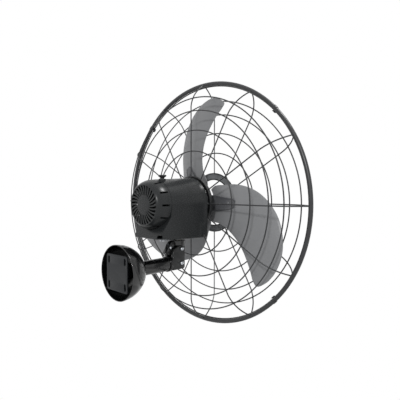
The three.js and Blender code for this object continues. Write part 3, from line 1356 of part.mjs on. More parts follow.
function addGrille(head) {
  part(head, 'rear_guard', rearGuard(), WIRE_BLACK);
  part(head, 'front_guard', frontGuard(), WIRE_BLACK);
  part(head, 'rear_centre_ring', rearCentreRing(), SATIN_BLACK);
  const frontRing = centreRing(FRONT_CENTRE_OUTER, FRONT_CENTRE_INNER, FRONT_PLANE);
  part(head, 'front_centre_ring', frontRing, PLATE_GREY);
  postPlaces.forEach(([x, , z], i) => {
    part(head, `ring_screw_${i + 1}`, ringScrew(), ZINC).position.set(x, 0, z);
  });
  for (let i = 0; i < CLIPS; i += 1) {
    const angle = 45 + (360 / CLIPS) * i;
    const clip = part(head, `guard_clip_${i + 1}`, guardClip(), ZINC);
    clip.position.set(...polar(hoopRadius, angle, 0));
    clip.rotation.y = -degrees(angle);
  }
}

function addRotor(head) {
  part(head, 'motor_shaft', motorShaft(), STEEL);
  part(head, 'rotor_core', rotorCore(), STEEL);
  part(head, 'worm', worm(), BRASS);
  part(head, 'fan_hub', fanHub(), SATIN_BLACK);
  part(head, 'hub_clamp_ring', hubClamp(), SATIN_BLACK);
  part(head, 'fan_spider', fanSpider(), SATIN_BLACK);
  part(head, 'hub_cap_nut', capNut(), SATIN_BLACK);
  for (let i = 0; i < BLADES; i += 1) {
    const turn = (-Math.PI * 2 * i) / BLADES;
    part(head, `blade_${i + 1}`, blade(), BLADE_GREY).rotation.y = turn;
    part(head, `blade_rivet_${i + 1}`, bladeRivet(), ZINC).rotation.y = turn;
  }
}

const fanHead = new THREE.Group();
fanHead.position.set(0, -pivotReach - swivelStation, AXIS_RISE);
addArm();
addBracket();
addMotor(fanHead);
addGears(fanHead);
addGrille(fanHead);
addRotor(fanHead);
fan.add(fanHead);

export default fan;
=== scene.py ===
# Dresses the wall fan: smooth wires, lofted motor case, swept blades, painted and plated finishes,
# white background and soft light. Metres in the scene, millimetres in the sizes below.
import math

import bmesh
import bpy
from mathutils import Matrix, Vector


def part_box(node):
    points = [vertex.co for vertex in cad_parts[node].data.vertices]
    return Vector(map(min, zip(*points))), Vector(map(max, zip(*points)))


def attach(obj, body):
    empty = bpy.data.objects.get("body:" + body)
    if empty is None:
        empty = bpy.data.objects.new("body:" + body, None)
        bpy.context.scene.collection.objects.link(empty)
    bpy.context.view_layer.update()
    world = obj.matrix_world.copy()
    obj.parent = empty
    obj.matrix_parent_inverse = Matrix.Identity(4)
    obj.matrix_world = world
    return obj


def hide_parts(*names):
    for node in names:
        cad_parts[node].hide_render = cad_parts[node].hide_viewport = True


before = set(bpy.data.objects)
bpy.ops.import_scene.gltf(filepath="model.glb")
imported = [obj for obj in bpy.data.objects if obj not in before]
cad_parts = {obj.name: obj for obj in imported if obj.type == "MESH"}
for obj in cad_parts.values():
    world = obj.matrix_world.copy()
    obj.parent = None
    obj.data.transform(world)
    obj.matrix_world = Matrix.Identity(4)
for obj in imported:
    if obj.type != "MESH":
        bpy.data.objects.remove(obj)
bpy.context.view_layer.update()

MM = 0.001



def new_object(name, data):
    """An object at the origin of the scene."""
    obj = bpy.data.objects.new(name, data)
    bpy.context.scene.collection.objects.link(obj)
    return obj


# ---------------- camera
# The photograph's view: from behind the fan, to the wall's side, a little above its axis.

CAMERA_PLACE = Vector((-682.3, 458.1, 173.7)) * MM
CAMERA_HEADING = math.radians(224.06)
CAMERA_PITCH = math.radians(1.61)
SENSOR = 36.0
LENS = 35.26


def make_camera():
    ahead = Vector((-math.sin(CAMERA_HEADING) * math.cos(CAMERA_PITCH),
                    math.cos(CAMERA_HEADING) * math.cos(CAMERA_PITCH), -math.sin(CAMERA_PITCH)))
    right = Vector((math.cos(CAMERA_HEADING), math.sin(CAMERA_HEADING), 0))
    up = right.cross(ahead)
    data = bpy.data.cameras.new("photo_camera")
    data.lens = LENS
    data.sensor_width = SENSOR
    data.clip_start = 0.02
    camera = new_object("photo_camera", data)
    turn = Matrix((right, up, -ahead)).transposed().to_4x4()
    camera.matrix_world = Matrix.Translation(CAMERA_PLACE) @ turn
    bpy.context.scene.camera = camera


make_camera()

# ---------------- nodes


def add(tree, kind, inputs=None, **settings):
    """Adds a node. inputs maps a socket's name or number to a value, to the output that feeds it, or to
    the node whose first output does."""
    node = tree.nodes.new(kind)
    for key, value in settings.items():
        setattr(node, key, value)
    for key, value in (inputs or {}).items():
        if isinstance(value, bpy.types.Node):
            value = value.outputs[0]
        if isinstance(value, bpy.types.NodeSocket):
            tree.links.new(value, node.inputs[key])
        else:
            node.inputs[key].default_value = value
    return node


def linear(colour):
    """An sRGB hex colour as linear red, green, blue and alpha."""
    shares = [int(colour[i:i + 2], 16) / 255 for i in (1, 3, 5)]
    return (*[c / 12.92 if c <= 0.04045 else ((c + 0.055) / 1.055) ** 2.4 for c in shares], 1)


# ---------------- finishes


def empty_material(name):
    """A new material and its empty node tree."""
    material = bpy.data.materials.new(name)
    material.use_nodes = True
    material.node_tree.nodes.clear()
    return material, material.node_tree


def finish(name, base, other, patch_mm, grain_mm, grain_depth_mm, rough, rough_spread, **shader):
    """A material of two close colours in soft patches, with a fine grain in its height and its gloss.

    patch_mm and grain_mm are the sizes of the patches and of the grain. shader sets the Principled
    shader's own sockets, and paint has an IOR of 1.5 unless it says otherwise."""
    material, tree = empty_material(name)
    place = add(tree, "ShaderNodeTexCoord").outputs["Object"]
    patches = add(tree, "ShaderNodeTexNoise", {"Vector": place, "Scale": 1 / (patch_mm * MM), "Detail": 3.0})
    grain = add(tree, "ShaderNodeTexNoise", {"Vector": place, "Scale": 1 / (grain_mm * MM), "Detail": 2.0})
    colour = add(tree, "ShaderNodeMix", {0: patches, 6: linear(base), 7: linear(other)},
                 data_type="RGBA")
    gloss = add(tree, "ShaderNodeMapRange", {
        "Value": grain, "From Min": 0.3, "From Max": 0.7,
        "To Min": rough - rough_spread, "To Max": rough + rough_spread})
    bump = add(tree, "ShaderNodeBump", {
        "Height": grain, "Distance": grain_depth_mm * MM, "Strength": 0.6})
    principled = add(tree, "ShaderNodeBsdfPrincipled", {
        "Base Color": colour.outputs[2], "Roughness": gloss,
        "Normal": bump, "IOR": 1.5, **shader})
    add(tree, "ShaderNodeOutputMaterial", {"Surface": principled})
    return material


# Powder coat on a pressed and cast motor case: a fine orange peel that spreads the light.
powder_coat = finish("charcoal_powder_coat", "#262829", "#222425", 60, 2.2, 0.006, 0.27, 0.015,
                     **{"Specular IOR Level": 0.28})
# The same coat, duller, on the flat wall plate.
plate_coat = finish("grey_powder_coat", "#1d1f22", "#191b1e", 40, 2, 0.01, 0.45, 0.03,
                    **{"Specular IOR Level": 0.28})
# ABS from a polished mould: deep black with sharp reflections.
gloss_abs = finish("gloss_black_abs", "#0c0c0d", "#09090a", 45, 14, 0.01, 0.15, 0.02, IOR=1.58)
# Baked enamel on drawn tube: gloss with the tube's faint long waves.
tube_enamel = finish("black_enamel_on_tube", "#0c0c0d", "#080809", 30, 25, 0.01, 0.15, 0.01, IOR=1.58)
# Brushed-on satin enamel on cast and sawn steel: dull, with the casting's grain under it.
cast_enamel = finish("satin_enamel_on_casting", "#1e1f20", "#171818", 25, 4, 0.01, 0.3, 0.03)
# Dip coat painted pale on the upright spokes in front as a painted highlight, so that they show lighter than
# the rest.
spoke_highlight_coat = finish("dip_coat_with_painted_highlight", "#8a8b8d", "#7f8082", 60, 12, 0.01, 0.36, 0.05)
# Dip coat on drawn and welded wire: dark grey and softly glossy.
wire_coat = finish("dark_dip_coat_on_wire", "#2e2f31", "#28292b", 60, 12, 0.01, 0.36, 0.05)
# Paint on the pressed rings: mid grey in front, and black behind, where the black is painted shade for the
# shadow the rear ring lies in. The same black is on the cover screws.
black_paint_and_ring_shade = finish("black_paint_and_painted_ring_shade", "#18191a", "#131415", 30, 1.5, 0.04, 0.4, 0.06)
ring_grey = finish("grey_paint_on_pressing", "#8b8d8f", "#7f8183", 30, 1.5, 0.02, 0.42, 0.06)
# Sprayed paint on sheet aluminium: mid grey, semi-gloss, with a faint mottle.
blade_paint = finish("grey_spray_paint_on_sheet", "#868789", "#7d7e80", 120, 3, 0.01, 0.36, 0.04)
# The same paint, darker, on the pressed spider and its hub.
spider_paint = finish("dark_grey_paint_on_pressing", "#5c5d60", "#525356", 60, 2, 0.015, 0.3, 0.04)
# Moulded knob: charcoal plastic with a spark-eroded sheen.
knob_plastic = finish("black_moulded_plastic", "#2b2b2d", "#252527", 20, 0.8, 0.03, 0.35, 0.05, IOR=1.49)
# Moulded rubber: black and dull.
rubber = finish("moulded_black_rubber", "#161616", "#101010", 15, 0.9, 0.06, 0.8, 0.08, IOR=1.52)
# Injected natural nylon, slightly waxy.
nylon = finish("natural_nylon", "#d8d4c8", "#cfcabc", 12, 1.0, 0.03, 0.5, 0.06, IOR=1.53)
# Zinc plating with a bright passivate, as on screws: cool, clean metal with fine spangle.
zinc = finish("bright_zinc_plate", "#c6c9cd", "#aeb2b7", 4, 0.7, 0.01, 0.27, 0.08, Metallic=1.0)
# Turned steel with a film of oil.
turned_steel = finish("turned_steel", "#9a9da1", "#85888c", 9, 0.6, 0.01, 0.3, 0.08, Metallic=1.0)
# Die-cast aluminium painted dark, with its skin of casting grain: painted shade that gives the dark behind
# the vents.
cast_alloy = finish("die_casting_painted_as_shade", "#2a2b2d", "#202123", 14, 1.2, 0.04, 0.5, 0.08, Metallic=0.6)
# Cut brass, slightly tarnished between the teeth.
brass = finish("cut_brass", "#b8924a", "#9a7838", 6, 0.6, 0.01, 0.32, 0.08, Metallic=1.0)
# Potted capacitor case in black plastic.
potted = finish("potted_black_case", "#232326", "#1c1c1f", 18, 1.0, 0.04, 0.5, 0.06)


def banded(name, dark, light, band_mm, axis, rough, depth_mm):
    """A metal built of thin parallel layers: bands across one axis of the object, 0 for X to 2 for Z."""
    material, tree = empty_material(name)
    place = add(tree, "ShaderNodeTexCoord").outputs["Object"]
    turn = add(tree, "ShaderNodeSeparateXYZ", {"Vector": place})
    phase = add(tree, "ShaderNodeMath", {0: turn.outputs[axis], 1: 1 / (band_mm * MM)},
                operation="MULTIPLY")
    wave = add(tree, "ShaderNodeMath", {0: phase, 1: 1.0}, operation="PINGPONG")
    noise = add(tree, "ShaderNodeTexNoise", {"Vector": place, "Scale": 1 / (3 * MM)})
    share = add(tree, "ShaderNodeMath", {0: wave, 1: noise}, operation="MULTIPLY")
    colour = add(tree, "ShaderNodeMix", {0: share, 6: linear(dark), 7: linear(light)},
                 data_type="RGBA")
    bump = add(tree, "ShaderNodeBump", {"Height": wave, "Distance": depth_mm * MM, "Strength": 0.8})
    gloss = add(tree, "ShaderNodeMapRange", {
        "Value": noise, "To Min": rough - 0.08, "To Max": rough + 0.08})
    principled = add(tree, "ShaderNodeBsdfPrincipled", {
        "Base Color": colour.outputs[2], "Roughness": gloss,
        "Normal": bump, "Metallic": 1.0})
    add(tree, "ShaderNodeOutputMaterial", {"Surface": principled})
    return material


# Stamped laminations, 0.5 mm each; drawn 1 mm thick so that they show.
laminations = banded("laminated_core_steel", "#3d3f42", "#8e9195", 1.0, 1, 0.4, 0.1)
# Enamelled copper wire about 0.6 mm thick, wound in layers and varnished.
copper_wire = banded("varnished_copper_winding", "#6b2a12", "#c46a34", 0.7, 1, 0.32, 0.25)

# ---------------- mesh tools


def mesh_object(name, places, faces):
    """A mesh object from places in metres."""
    mesh = bpy.data.meshes.new(name)
    mesh.from_pydata([tuple(p) for p in places], [], faces)
    return tidy(new_object(name, mesh))


def tidy(obj):
    """Merges doubles and turns the faces outwards."""
    shape = bmesh.new()
    shape.from_mesh(obj.data)
    bmesh.ops.remove_doubles(shape, verts=shape.verts, dist=1e-6)
    bmesh.ops.recalc_face_normals(shape, faces=shape.faces)
    shape.to_mesh(obj.data)
    shape.free()
    return obj


def loft(name, sections, paired_ends=False):
    """A closed solid through sections of as many places each, in mm.

    An end is one face, or for a thin plate a row of faces that each join its two sides."""
    count = len(sections[0])
    last = (len(sections) - 1) * count
    faces = []
    for start in range(0, last, count):
        for i in range(count):
            j = (i + 1) % count
            faces.append((start + i, start + j, start + count + j, start + count + i))
    for start in (0, last):
        if paired_ends:
            faces += [(start + i, start + i + 1, start + count - 2 - i, start + count - 1 - i)
                      for i in range(count // 2 - 1)]
        else:
            faces.append(tuple(range(start, start + count)))
    return mesh_object(name, [p * MM for section in sections for p in section], faces)


def final_mesh(obj):
    """The mesh that an object's modifiers or its curve result in."""
    bpy.context.view_layer.update()
    graph = bpy.context.evaluated_depsgraph_get()
    return bpy.data.meshes.new_from_object(obj.evaluated_get(graph), depsgraph=graph)


def settle(obj):
    """Replaces an object's mesh by the result of its modifiers, which are then removed."""
    mesh = final_mesh(obj)
    obj.modifiers.clear()
    obj.data = mesh
    return obj


BLUNT = math.radians(80)  # half of a corner's angle, from which it is too blunt to round
SIDE_SHARE = 0.45         # the most that rounding takes of a side, at either end of it


def rounded(corners, radius, steps=3):
    """A closed outline of two-dimensional corners with each one rounded. Corners on the axis stay."""
    result = []
    count = len(corners)
    for i, corner in enumerate(corners):
        here = Vector(corner)
        before = Vector(corners[i - 1]) - here
        after = Vector(corners[(i + 1) % count]) - here
        if abs(here.y) < 1e-9 or before.length < 1e-6 or after.length < 1e-6:
            result.append(tuple(here))
            continue
        half = before.angle(after) / 2
        if half > BLUNT:
            result.append(tuple(here))
            continue
        reach = min(radius / math.tan(half), before.length * SIDE_SHARE, after.length * SIDE_SHARE)
        start = here + before.normalized() * reach
        stop = here + after.normalized() * reach
        for k in range(steps + 1):
            share = k / steps
            result.append(tuple(start.lerp(here, share).lerp(here.lerp(stop, share), share)))
    return result


TURNS = {"X": Matrix(((0, 1, 0), (1, 0, 0), (0, 0, -1))), "Y": Matrix.Identity(3),
         "Z": Matrix(((1, 0, 0), (0, 0, -1), (0, 1, 0)))}


def turned(name, profile, centre=(0, 0, 0), axis="Y", segments=96, edge=0.4):
    """Spins a closed outline of (station, radius) corners in mm about an axis through a centre in mm."""
    outline = rounded(profile, edge) if edge else list(profile)
    turn = TURNS[axis] if isinstance(axis, str) else axis
    middle = Vector(centre)
    rings = []
    places = []
    for station, radius in outline:
        count = segments if radius > 1e-6 else 1
        rings.append((len(places), count))
        for i in range(count):
            angle = 2 * math.pi * i / segments
            local = Vector((radius * math.cos(angle), station, radius * math.sin(angle)))
            places.append((turn @ local + middle) * MM)
    faces = []
    for k, (a, a_count) in enumerate(rings):
        b, b_count = rings[(k + 1) % len(rings)]
        if a_count == 1 and b_count == 1:
            continue
        for i in range(segments):
            j = (i + 1) % segments
            corners = [a + i % a_count, a + j % a_count, b + j % b_count, b + i % b_count]
            faces.append(list(dict.fromkeys(corners)))
    return mesh_object(name, places, faces)


def cos(degrees):
    return math.cos(math.radians(degrees))


def sin(degrees):
    return math.sin(math.radians(degrees))


def arc(centre, radius, start, stop, steps):
    """Points on an arc, in degrees anticlockwise."""
    points = []
    for i in range(steps + 1):
        angle = start + (stop - start) * i / steps
        points.append((centre[0] + radius * cos(angle), centre[1] + radius * sin(angle)))
    return points


def round_hole(radius, centre=(0, 0)):
    return arc(centre, radius, 0, 345, 23)


def stadium(a, b, width, steps=12):
    """The outline of a bar with round ends between two points."""
    angle = math.degrees(math.atan2(b[1] - a[1], b[0] - a[0]))
    return (arc(b, width / 2, angle - 90, angle + 90, steps)
            + arc(a, width / 2, angle + 90, angle + 270, steps))


# How a flat outline (u, v) and its thickness lie: "XZ" faces +Y, "YZ" faces +X, "XY" faces +Z.
LAY = {"XZ": Matrix(((1, 0, 0), (0, 0, 1), (0, 1, 0))), "YZ": Matrix(((0, 0, 1), (1, 0, 0), (0, 1, 0))),
       "XY": Matrix.Identity(3)}


def plate(name, outline, start, stop, lay, centre=(0, 0, 0), holes=(), edge=0.5):
    """A flat plate with softened edges, between two stations along the direction that it faces."""
    curve = bpy.data.curves.new(name, "CURVE")
    curve.dimensions = "2D"
    curve.fill_mode = "BOTH"
    curve.extrude = ((stop - start) / 2 - edge) * MM
    curve.bevel_depth = edge * MM
    curve.bevel_resolution = 2
    curve.offset = -edge * MM
    for loop in [outline, *holes]:
        spline = curve.splines.new("POLY")
        spline.points.add(len(loop) - 1)
        for point, (u, v) in zip(spline.points, loop):
            point.co = (u * MM, v * MM, 0, 1)
        spline.use_cyclic_u = True
    flat = new_object(name + "_outline", curve)
    mesh = final_mesh(flat)
    bpy.data.objects.remove(flat)
    mesh.transform(Matrix.Translation((0, 0, (start + stop) / 2 * MM)))
    mesh.transform(LAY[lay].to_4x4())
    mesh.transform(Matrix.Translation(Vector(centre) * MM))
    return tidy(new_object(name, mesh))


def joined(name, *objects):
    """One object from several that belong to the same rigid piece."""
    shape = bmesh.new()
    for obj in objects:
        shape.from_mesh(obj.data)
        bpy.data.objects.remove(obj)
    mesh = bpy.data.meshes.new(name)
    shape.to_mesh(mesh)
    shape.free()
    return new_object(name, mesh)


def carve(obj, *cutters):
    """Cuts solids out of an object and removes them."""
    for cutter in cutters:
        modifier = obj.modifiers.new("cut", "BOOLEAN")
        modifier.operation = "DIFFERENCE"
        modifier.solver = "EXACT"
        modifier.object = cutter
    settle(obj)
    for cutter in cutters:
        bpy.data.objects.remove(cutter)
    return obj


def box(name, x0, x1, y0, y1, z0, z1):
    places = [Vector((x, y, z)) * MM for x in (x0, x1) for y in (y0, y1) for z in (z0, z1)]
    faces = [(0, 1, 3, 2), (4, 6, 7, 5), (0, 4, 5, 1), (2, 3, 7, 6), (0, 2, 6, 4), (1, 5, 7, 3)]
    return mesh_object(name, places, faces)


def soften(obj, width, angle=35, segments=2):
    """Breaks the sharp edges of an object, as paint and tooling do."""
    modifier = obj.modifiers.new("soften", "BEVEL")
    modifier.width = width * MM
    modifier.segments = segments
    modifier.limit_method = "ANGLE"
    modifier.angle_limit = math.radians(angle)
    modifier.use_clamp_overlap = True
    return settle(obj)


def dress(obj, material, body, slot, *nodes, angle=32):
    """Shades a finished piece, paints it, gives it its body and hides the CAD nodes that it replaces. slot is
    not used.
    """
    obj.data.materials.clear()
    obj.data.materials.append(material)
    obj.data.shade_smooth()
    obj.data.set_sharp_from_angle(angle=math.radians(angle))
    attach(obj, body)
    if nodes:
        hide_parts(*nodes)
    return obj


def turned_piece(node, profile, centre, material, body, slot, **shape):
    """A turned piece that replaces one CAD node. shape goes to turned."""
    return dress(turned(node, profile, centre, **shape), material, body, slot, node)


# ---------------- geometry nodes


def new_tree(name, sockets):
    """A geometry tree with named inputs. Returns the tree and the sockets that give them."""
    tree = bpy.data.node_groups.new(name, "GeometryNodeTree")
    tree.interface.new_socket("Geometry", in_out="OUTPUT", socket_type="NodeSocketGeometry")
    tree.interface.new_socket("Geometry", in_out="INPUT", socket_type="NodeSocketGeometry")
    for label, kind in sockets:
        tree.interface.new_socket(label, in_out="INPUT", socket_type=kind)
    return tree, add(tree, "NodeGroupInput").outputs


def run_tree(obj, tree, values):
    """Applies a geometry tree to an object with values for its named inputs."""
    modifier = obj.modifiers.new(tree.name, "NODES")
    modifier.node_group = tree
    for item in tree.interface.items_tree:
        if item.in_out == "INPUT" and item.name in values:
            modifier[item.identifier] = values[item.name]
    return settle(obj)


def copies_tree():
    """Repeats the input round an axis along Y through a centre."""
    tree, given = new_tree("copies_round_axis", [
        ("Count", "NodeSocketInt"), ("Centre", "NodeSocketVector"), ("Start", "NodeSocketFloat"),
        ("Material", "NodeSocketMaterial")])
    points = add(tree, "GeometryNodePoints", {"Count": given["Count"], "Position": given["Centre"]})
    index = add(tree, "GeometryNodeInputIndex")
    step = add(tree, "ShaderNodeMath", {0: 2 * math.pi, 1: given["Count"]}, operation="DIVIDE")
    angle = add(tree, "ShaderNodeMath", {0: index, 1: step, 2: given["Start"]},
                operation="MULTIPLY_ADD")
    turn = add(tree, "ShaderNodeCombineXYZ", {"Y": angle})
    placed = add(tree, "GeometryNodeInstanceOnPoints", {
        "Points": points, "Instance": given["Geometry"], "Rotation": turn})
    real = add(tree, "GeometryNodeRealizeInstances", {0: placed})
    painted = add(tree, "GeometryNodeSetMaterial", {"Geometry": real, "Material": given["Material"]})
    add(tree, "NodeGroupOutput", {0: painted})
    return tree


COPIES = copies_tree()
RINGS = 4


def guard_tree():
    """A wire guard: the input is one spoke's middle line, drawn from the fan's axis. It is given its
    thickness and repeated, and rings and an edge are swept round the axis."""
    sockets = [("Spokes", "NodeSocketInt"), ("Wire", "NodeSocketFloat"), ("Edge wire", "NodeSocketFloat"),
               ("Centre", "NodeSocketVector"), ("Material", "NodeSocketMaterial")]
    for i in range(RINGS + 1):
        sockets += [(f"Radius {i}", "NodeSocketFloat"), (f"Station {i}", "NodeSocketFloat")]
    tree, given = new_tree("wire_guard", sockets)
    section = add(tree, "GeometryNodeCurvePrimitiveCircle", {"Resolution": 12, "Radius": given["Wire"]})
    line = add(tree, "GeometryNodeMeshToCurve", {"Mesh": given["Geometry"]})
    spoke = add(tree, "GeometryNodeCurveToMesh", {
        "Curve": line, "Profile Curve": section, "Fill Caps": True})
    spokes = add(tree, "GeometryNodeGroup", {
        "Geometry": spoke, "Count": given["Spokes"], "Material": given["Material"]}, node_tree=COPIES)
    everything = add(tree, "GeometryNodeJoinGeometry")
    tree.links.new(spokes.outputs[0], everything.inputs[0])
    edge_section = add(tree, "GeometryNodeCurvePrimitiveCircle", {
        "Resolution": 20, "Radius": given["Edge wire"]})
    for i in range(RINGS + 1):
        circle = add(tree, "GeometryNodeCurvePrimitiveCircle", {
            "Resolution": 180, "Radius": given[f"Radius {i}"]})
        place = add(tree, "ShaderNodeCombineXYZ", {"Y": given[f"Station {i}"]})
        stood = add(tree, "GeometryNodeTransform", {
            "Geometry": circle, "Translation": place, "Rotation": (math.pi / 2, 0, 0)})
        profile = edge_section if i == RINGS else section
        swept = add(tree, "GeometryNodeCurveToMesh", {"Curve": stood, "Profile Curve": profile})
        tree.links.new(swept.outputs[0], everything.inputs[0])
    moved = add(tree, "GeometryNodeTransform", {"Geometry": everything, "Translation": given["Centre"]})
    real = add(tree, "GeometryNodeRealizeInstances", {0: moved})
    painted = add(tree, "GeometryNodeSetMaterial", {"Geometry": real, "Material": given["Material"]})
    add(tree, "NodeGroupOutput", {0: painted})
    return tree


GUARD = guard_tree()

# ---------------- shared sizes
# Millimetres. Head sizes are from the fan's axis and the plane of the grille's hoop, wall side positive.

FAN_Y = -263.0
FAN_Z = 139.0
FAN_CENTRE = (0, FAN_Y, FAN_Z)
PIVOT_Y = -170.5
PIVOT = (0, PIVOT_Y, 0)
GAP = 0.3


def polar(radius, angle, station):
    """A place on the fan: degrees from the top towards -X."""
    return Vector((-radius * sin(angle), station, radius * cos(angle)))


def node_box(node):
    """The low and high corners of a CAD node in mm."""
    low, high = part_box(node)
    return low / MM, high / MM


def round_axis(obj, count, material, start=0.0):
    """Copies an object drawn about the fan's axis, and moves it there."""
    return run_tree(obj, COPIES, {
        "Count": count, "Centre": Vector(FAN_CENTRE) * MM, "Start": start, "Material": material})


# ---------------- grille

HOOP_RADIUS = 295
HOOP_WIRE = 5.0
WIRE = 1.5
SPOKES = 12
REAR_PLANE = 47.3
FRONT_PLANE = -37.8
RING_RADII = [127, 177.3, 224.3, 257]
SHOULDER = 236
WELD = WIRE * 1.1         # from a spoke's middle to that of a ring welded on it
SHOULDER_REACH = 0.6      # how far out, as a share of the way to the hoop, the shoulder pulls the curve
SHOULDER_DROP = 0.12      # and how far towards the hoop's plane


def spoke_line(plane, edge, edge_radius, inner):
    """Middle line of a spoke: flat from the centre, then curved to the hoop."""
    start = Vector((SHOULDER, plane))
    middle = Vector((SHOULDER + (edge_radius - SHOULDER) * SHOULDER_REACH,
                     plane + (edge - plane) * SHOULDER_DROP))
    stop = Vector((edge_radius, edge))
    points = [Vector((inner + (SHOULDER - inner) * i / 8, plane)) for i in range(8)]
    for i in range(17):
        share = i / 16
        points.append(start.lerp(middle, share).lerp(middle.lerp(stop, share), share))
    return points


def guard(name, plane, edge, edge_radius, edge_station, edge_wire, inner):
    """A welded guard, its spokes drawn in to the radius inner."""
    line = spoke_line(plane, edge, edge_radius, inner)
    mesh = bpy.data.meshes.new(name)
    mesh.from_pydata([(0, p.y * MM, p.x * MM) for p in line], [(i, i + 1) for i in range(len(line) - 1)], [])
    obj = new_object(name, mesh)
    inward = -math.copysign(WELD, plane)
    values = {"Spokes": SPOKES, "Wire": WIRE * MM, "Edge wire": edge_wire * MM,
              "Centre": Vector(FAN_CENTRE) * MM, "Material": wire_coat}
    for i, radius in enumerate(RING_RADII):
        near = min(line, key=lambda p: abs(p.x - radius) if p.x >= SHOULDER else math.inf)
        station = near.y if radius > SHOULDER else plane
        values[f"Radius {i}"] = radius * MM
        values[f"Station {i}"] = (station + inward) * MM
    hoop = HOOP_RADIUS if edge_wire == HOOP_WIRE else edge_radius
    values[f"Radius {RINGS}"] = hoop * MM
    values[f"Station {RINGS}"] = edge_station * MM
    run_tree(obj, GUARD, values)
    tidy(obj)
    return dress(obj, wire_coat, "head", "wire_paint", name, angle=60)


def second_paint(obj, material, chosen):
    """Gives the faces whose middle, from the fan's centre in mm, is a chosen one a second paint."""
    obj.data.materials.append(material)
    for face in obj.data.polygons:
        if chosen(face.center / MM - Vector(FAN_CENTRE)):
            face.material_index = 1


guard("rear_guard", REAR_PLANE, 3.5, 293.5, 0, HOOP_WIRE, 66)
FRONT_EDGE = -4.5
FRONT_EDGE_RADIUS = HOOP_RADIUS - math.sqrt((HOOP_WIRE + WIRE + GAP) ** 2 - FRONT_EDGE ** 2)
front_wires = guard("front_guard", FRONT_PLANE, FRONT_EDGE, FRONT_EDGE_RADIUS, FRONT_EDGE, WIRE, 71)
HIGHLIT_SPOKE_RADII = (78, 270)    # the radii between which the upright spokes carry the painted highlight
# Painted highlight: the upright front spokes take the pale paint between these radii.
second_paint(front_wires, spoke_highlight_coat,
             lambda p: abs(p.x) < WELD and HIGHLIT_SPOKE_RADII[0] < abs(p.z) < HIGHLIT_SPOKE_RADII[1])

# The centre rings are pressed, with a raised rim at both edges, and lie on the inner side of the spokes.
# The rear one has a lip that stands out between the spokes.
RING_LIP = 4.3
rear_face = REAR_PLANE - WIRE - GAP
# Painted shade: the rear centre ring is painted black for the shadow that it lies in.
turned_piece("rear_centre_ring", [
    (rear_face, 55), (rear_face - 4, 55), (rear_face - 4, 57), (rear_face - 2, 58), (rear_face - 2, 63.4),
    (rear_face - 4, 64), (rear_face - 4, 66), (rear_face + RING_LIP, 66), (rear_face + RING_LIP, 64),
    (rear_face, 63.4)], FAN_CENTRE, black_paint_and_ring_shade, "head", "rear_ring_paint", segments=160, edge=0.5)
front_face = FRONT_PLANE + WIRE + GAP
front_ring = turned_piece("front_centre_ring", [
    (front_face, 58), (front_face + 4, 58), (front_face + 4, 60), (front_face + 2, 61.2),
    (front_face + 2, 72.8), (front_face + 4, 74), (front_face + 4, 76), (front_face, 76)],
    FAN_CENTRE, ring_grey, "head", "front_ring_paint", segments=160, edge=0.7)
FRONT_RING_UNSHADED_BAND = (60.6, 73.4)  # the radii between its two rims, which carry painted shade
# Painted shade: the raised rims outside this band take the dark wire paint.
second_paint(front_ring, wire_coat,
             lambda p: not FRONT_RING_UNSHADED_BAND[0] < math.hypot(p.x, p.z) < FRONT_RING_UNSHADED_BAND[1])


def guard_clips():
    """Spring strips over the hoop and under the front guard's edge wire."""
    inner = HOOP_WIRE + GAP
    outer = inner + 0.7
    hook = 1.2
    face = FRONT_EDGE - WIRE - 0.5
    sill = FRONT_EDGE_RADIUS - HOOP_RADIUS - WIRE - hook
    end = FRONT_EDGE + WIRE
    outline = (arc((0, 0), inner, 20, 145, 14)
               + [(face, -1), (face, sill), (end, sill), (end, sill - hook),
                  (face - hook, sill - hook), (face - hook, -1)] + arc((0, 0), outer, 145, 20, 14))
    clip = plate("guard_clips", outline, -4.5, 4.5, "YZ", (0, 0, HOOP_RADIUS), edge=0.15)
    round_axis(clip, 4, wire_coat, math.radians(45))
    return dress(clip, wire_coat, "head", "wire_paint", *[f"guard_clip_{i}" for i in range(1, 5)])


guard_clips()

# ---------------- rotor

# The blade's two long edges as radius, degrees from the top and station.
TRAILING_EDGE = [
    (39, -87, -2), (50, -84, -3), (75, -66.5, -6), (100, -57.5, -11), (130, -47.5, -18.5),
    (160, -38.2, -20.5), (190, -28.5, -20), (215, -19.8, -17), (238, -9.8, -11.5), (252, -2, -6),
    (259.5, 4, -1.5)]
LEADING_EDGE = [
    (39, 27, 10.5), (50, 26, 11), (75, 9, 14), (100, 4.3, 15.2), (130, 4.5, 15.6), (160, 6.9, 15.5),
    (190, 10.7, 14.8), (215, 14, 14), (238, 17, 12), (252, 16.9, 8.5), (259.5, 12.5, 5)]
BLADE_THICKNESS = 1.8
BLADE_CAMBER = 4
BLADES = 3
TIP_START = 0.84     # share of the span where the tip starts to round off
TIP_ROUNDING = 0.3   # share of the chord that each side loses at the tip
END_THICKNESS = 0.55  # share of the thickness that the root and the tip keep
SIDE_THICKNESS = 0.45  # share that the long edges keep
SPAN_STEPS = 60
CHORD_STEPS = 22
CHORDS = [0, 0.006, *[(j + 0.5) / (CHORD_STEPS + 1) for j in range(1, CHORD_STEPS)], 0.994, 1]


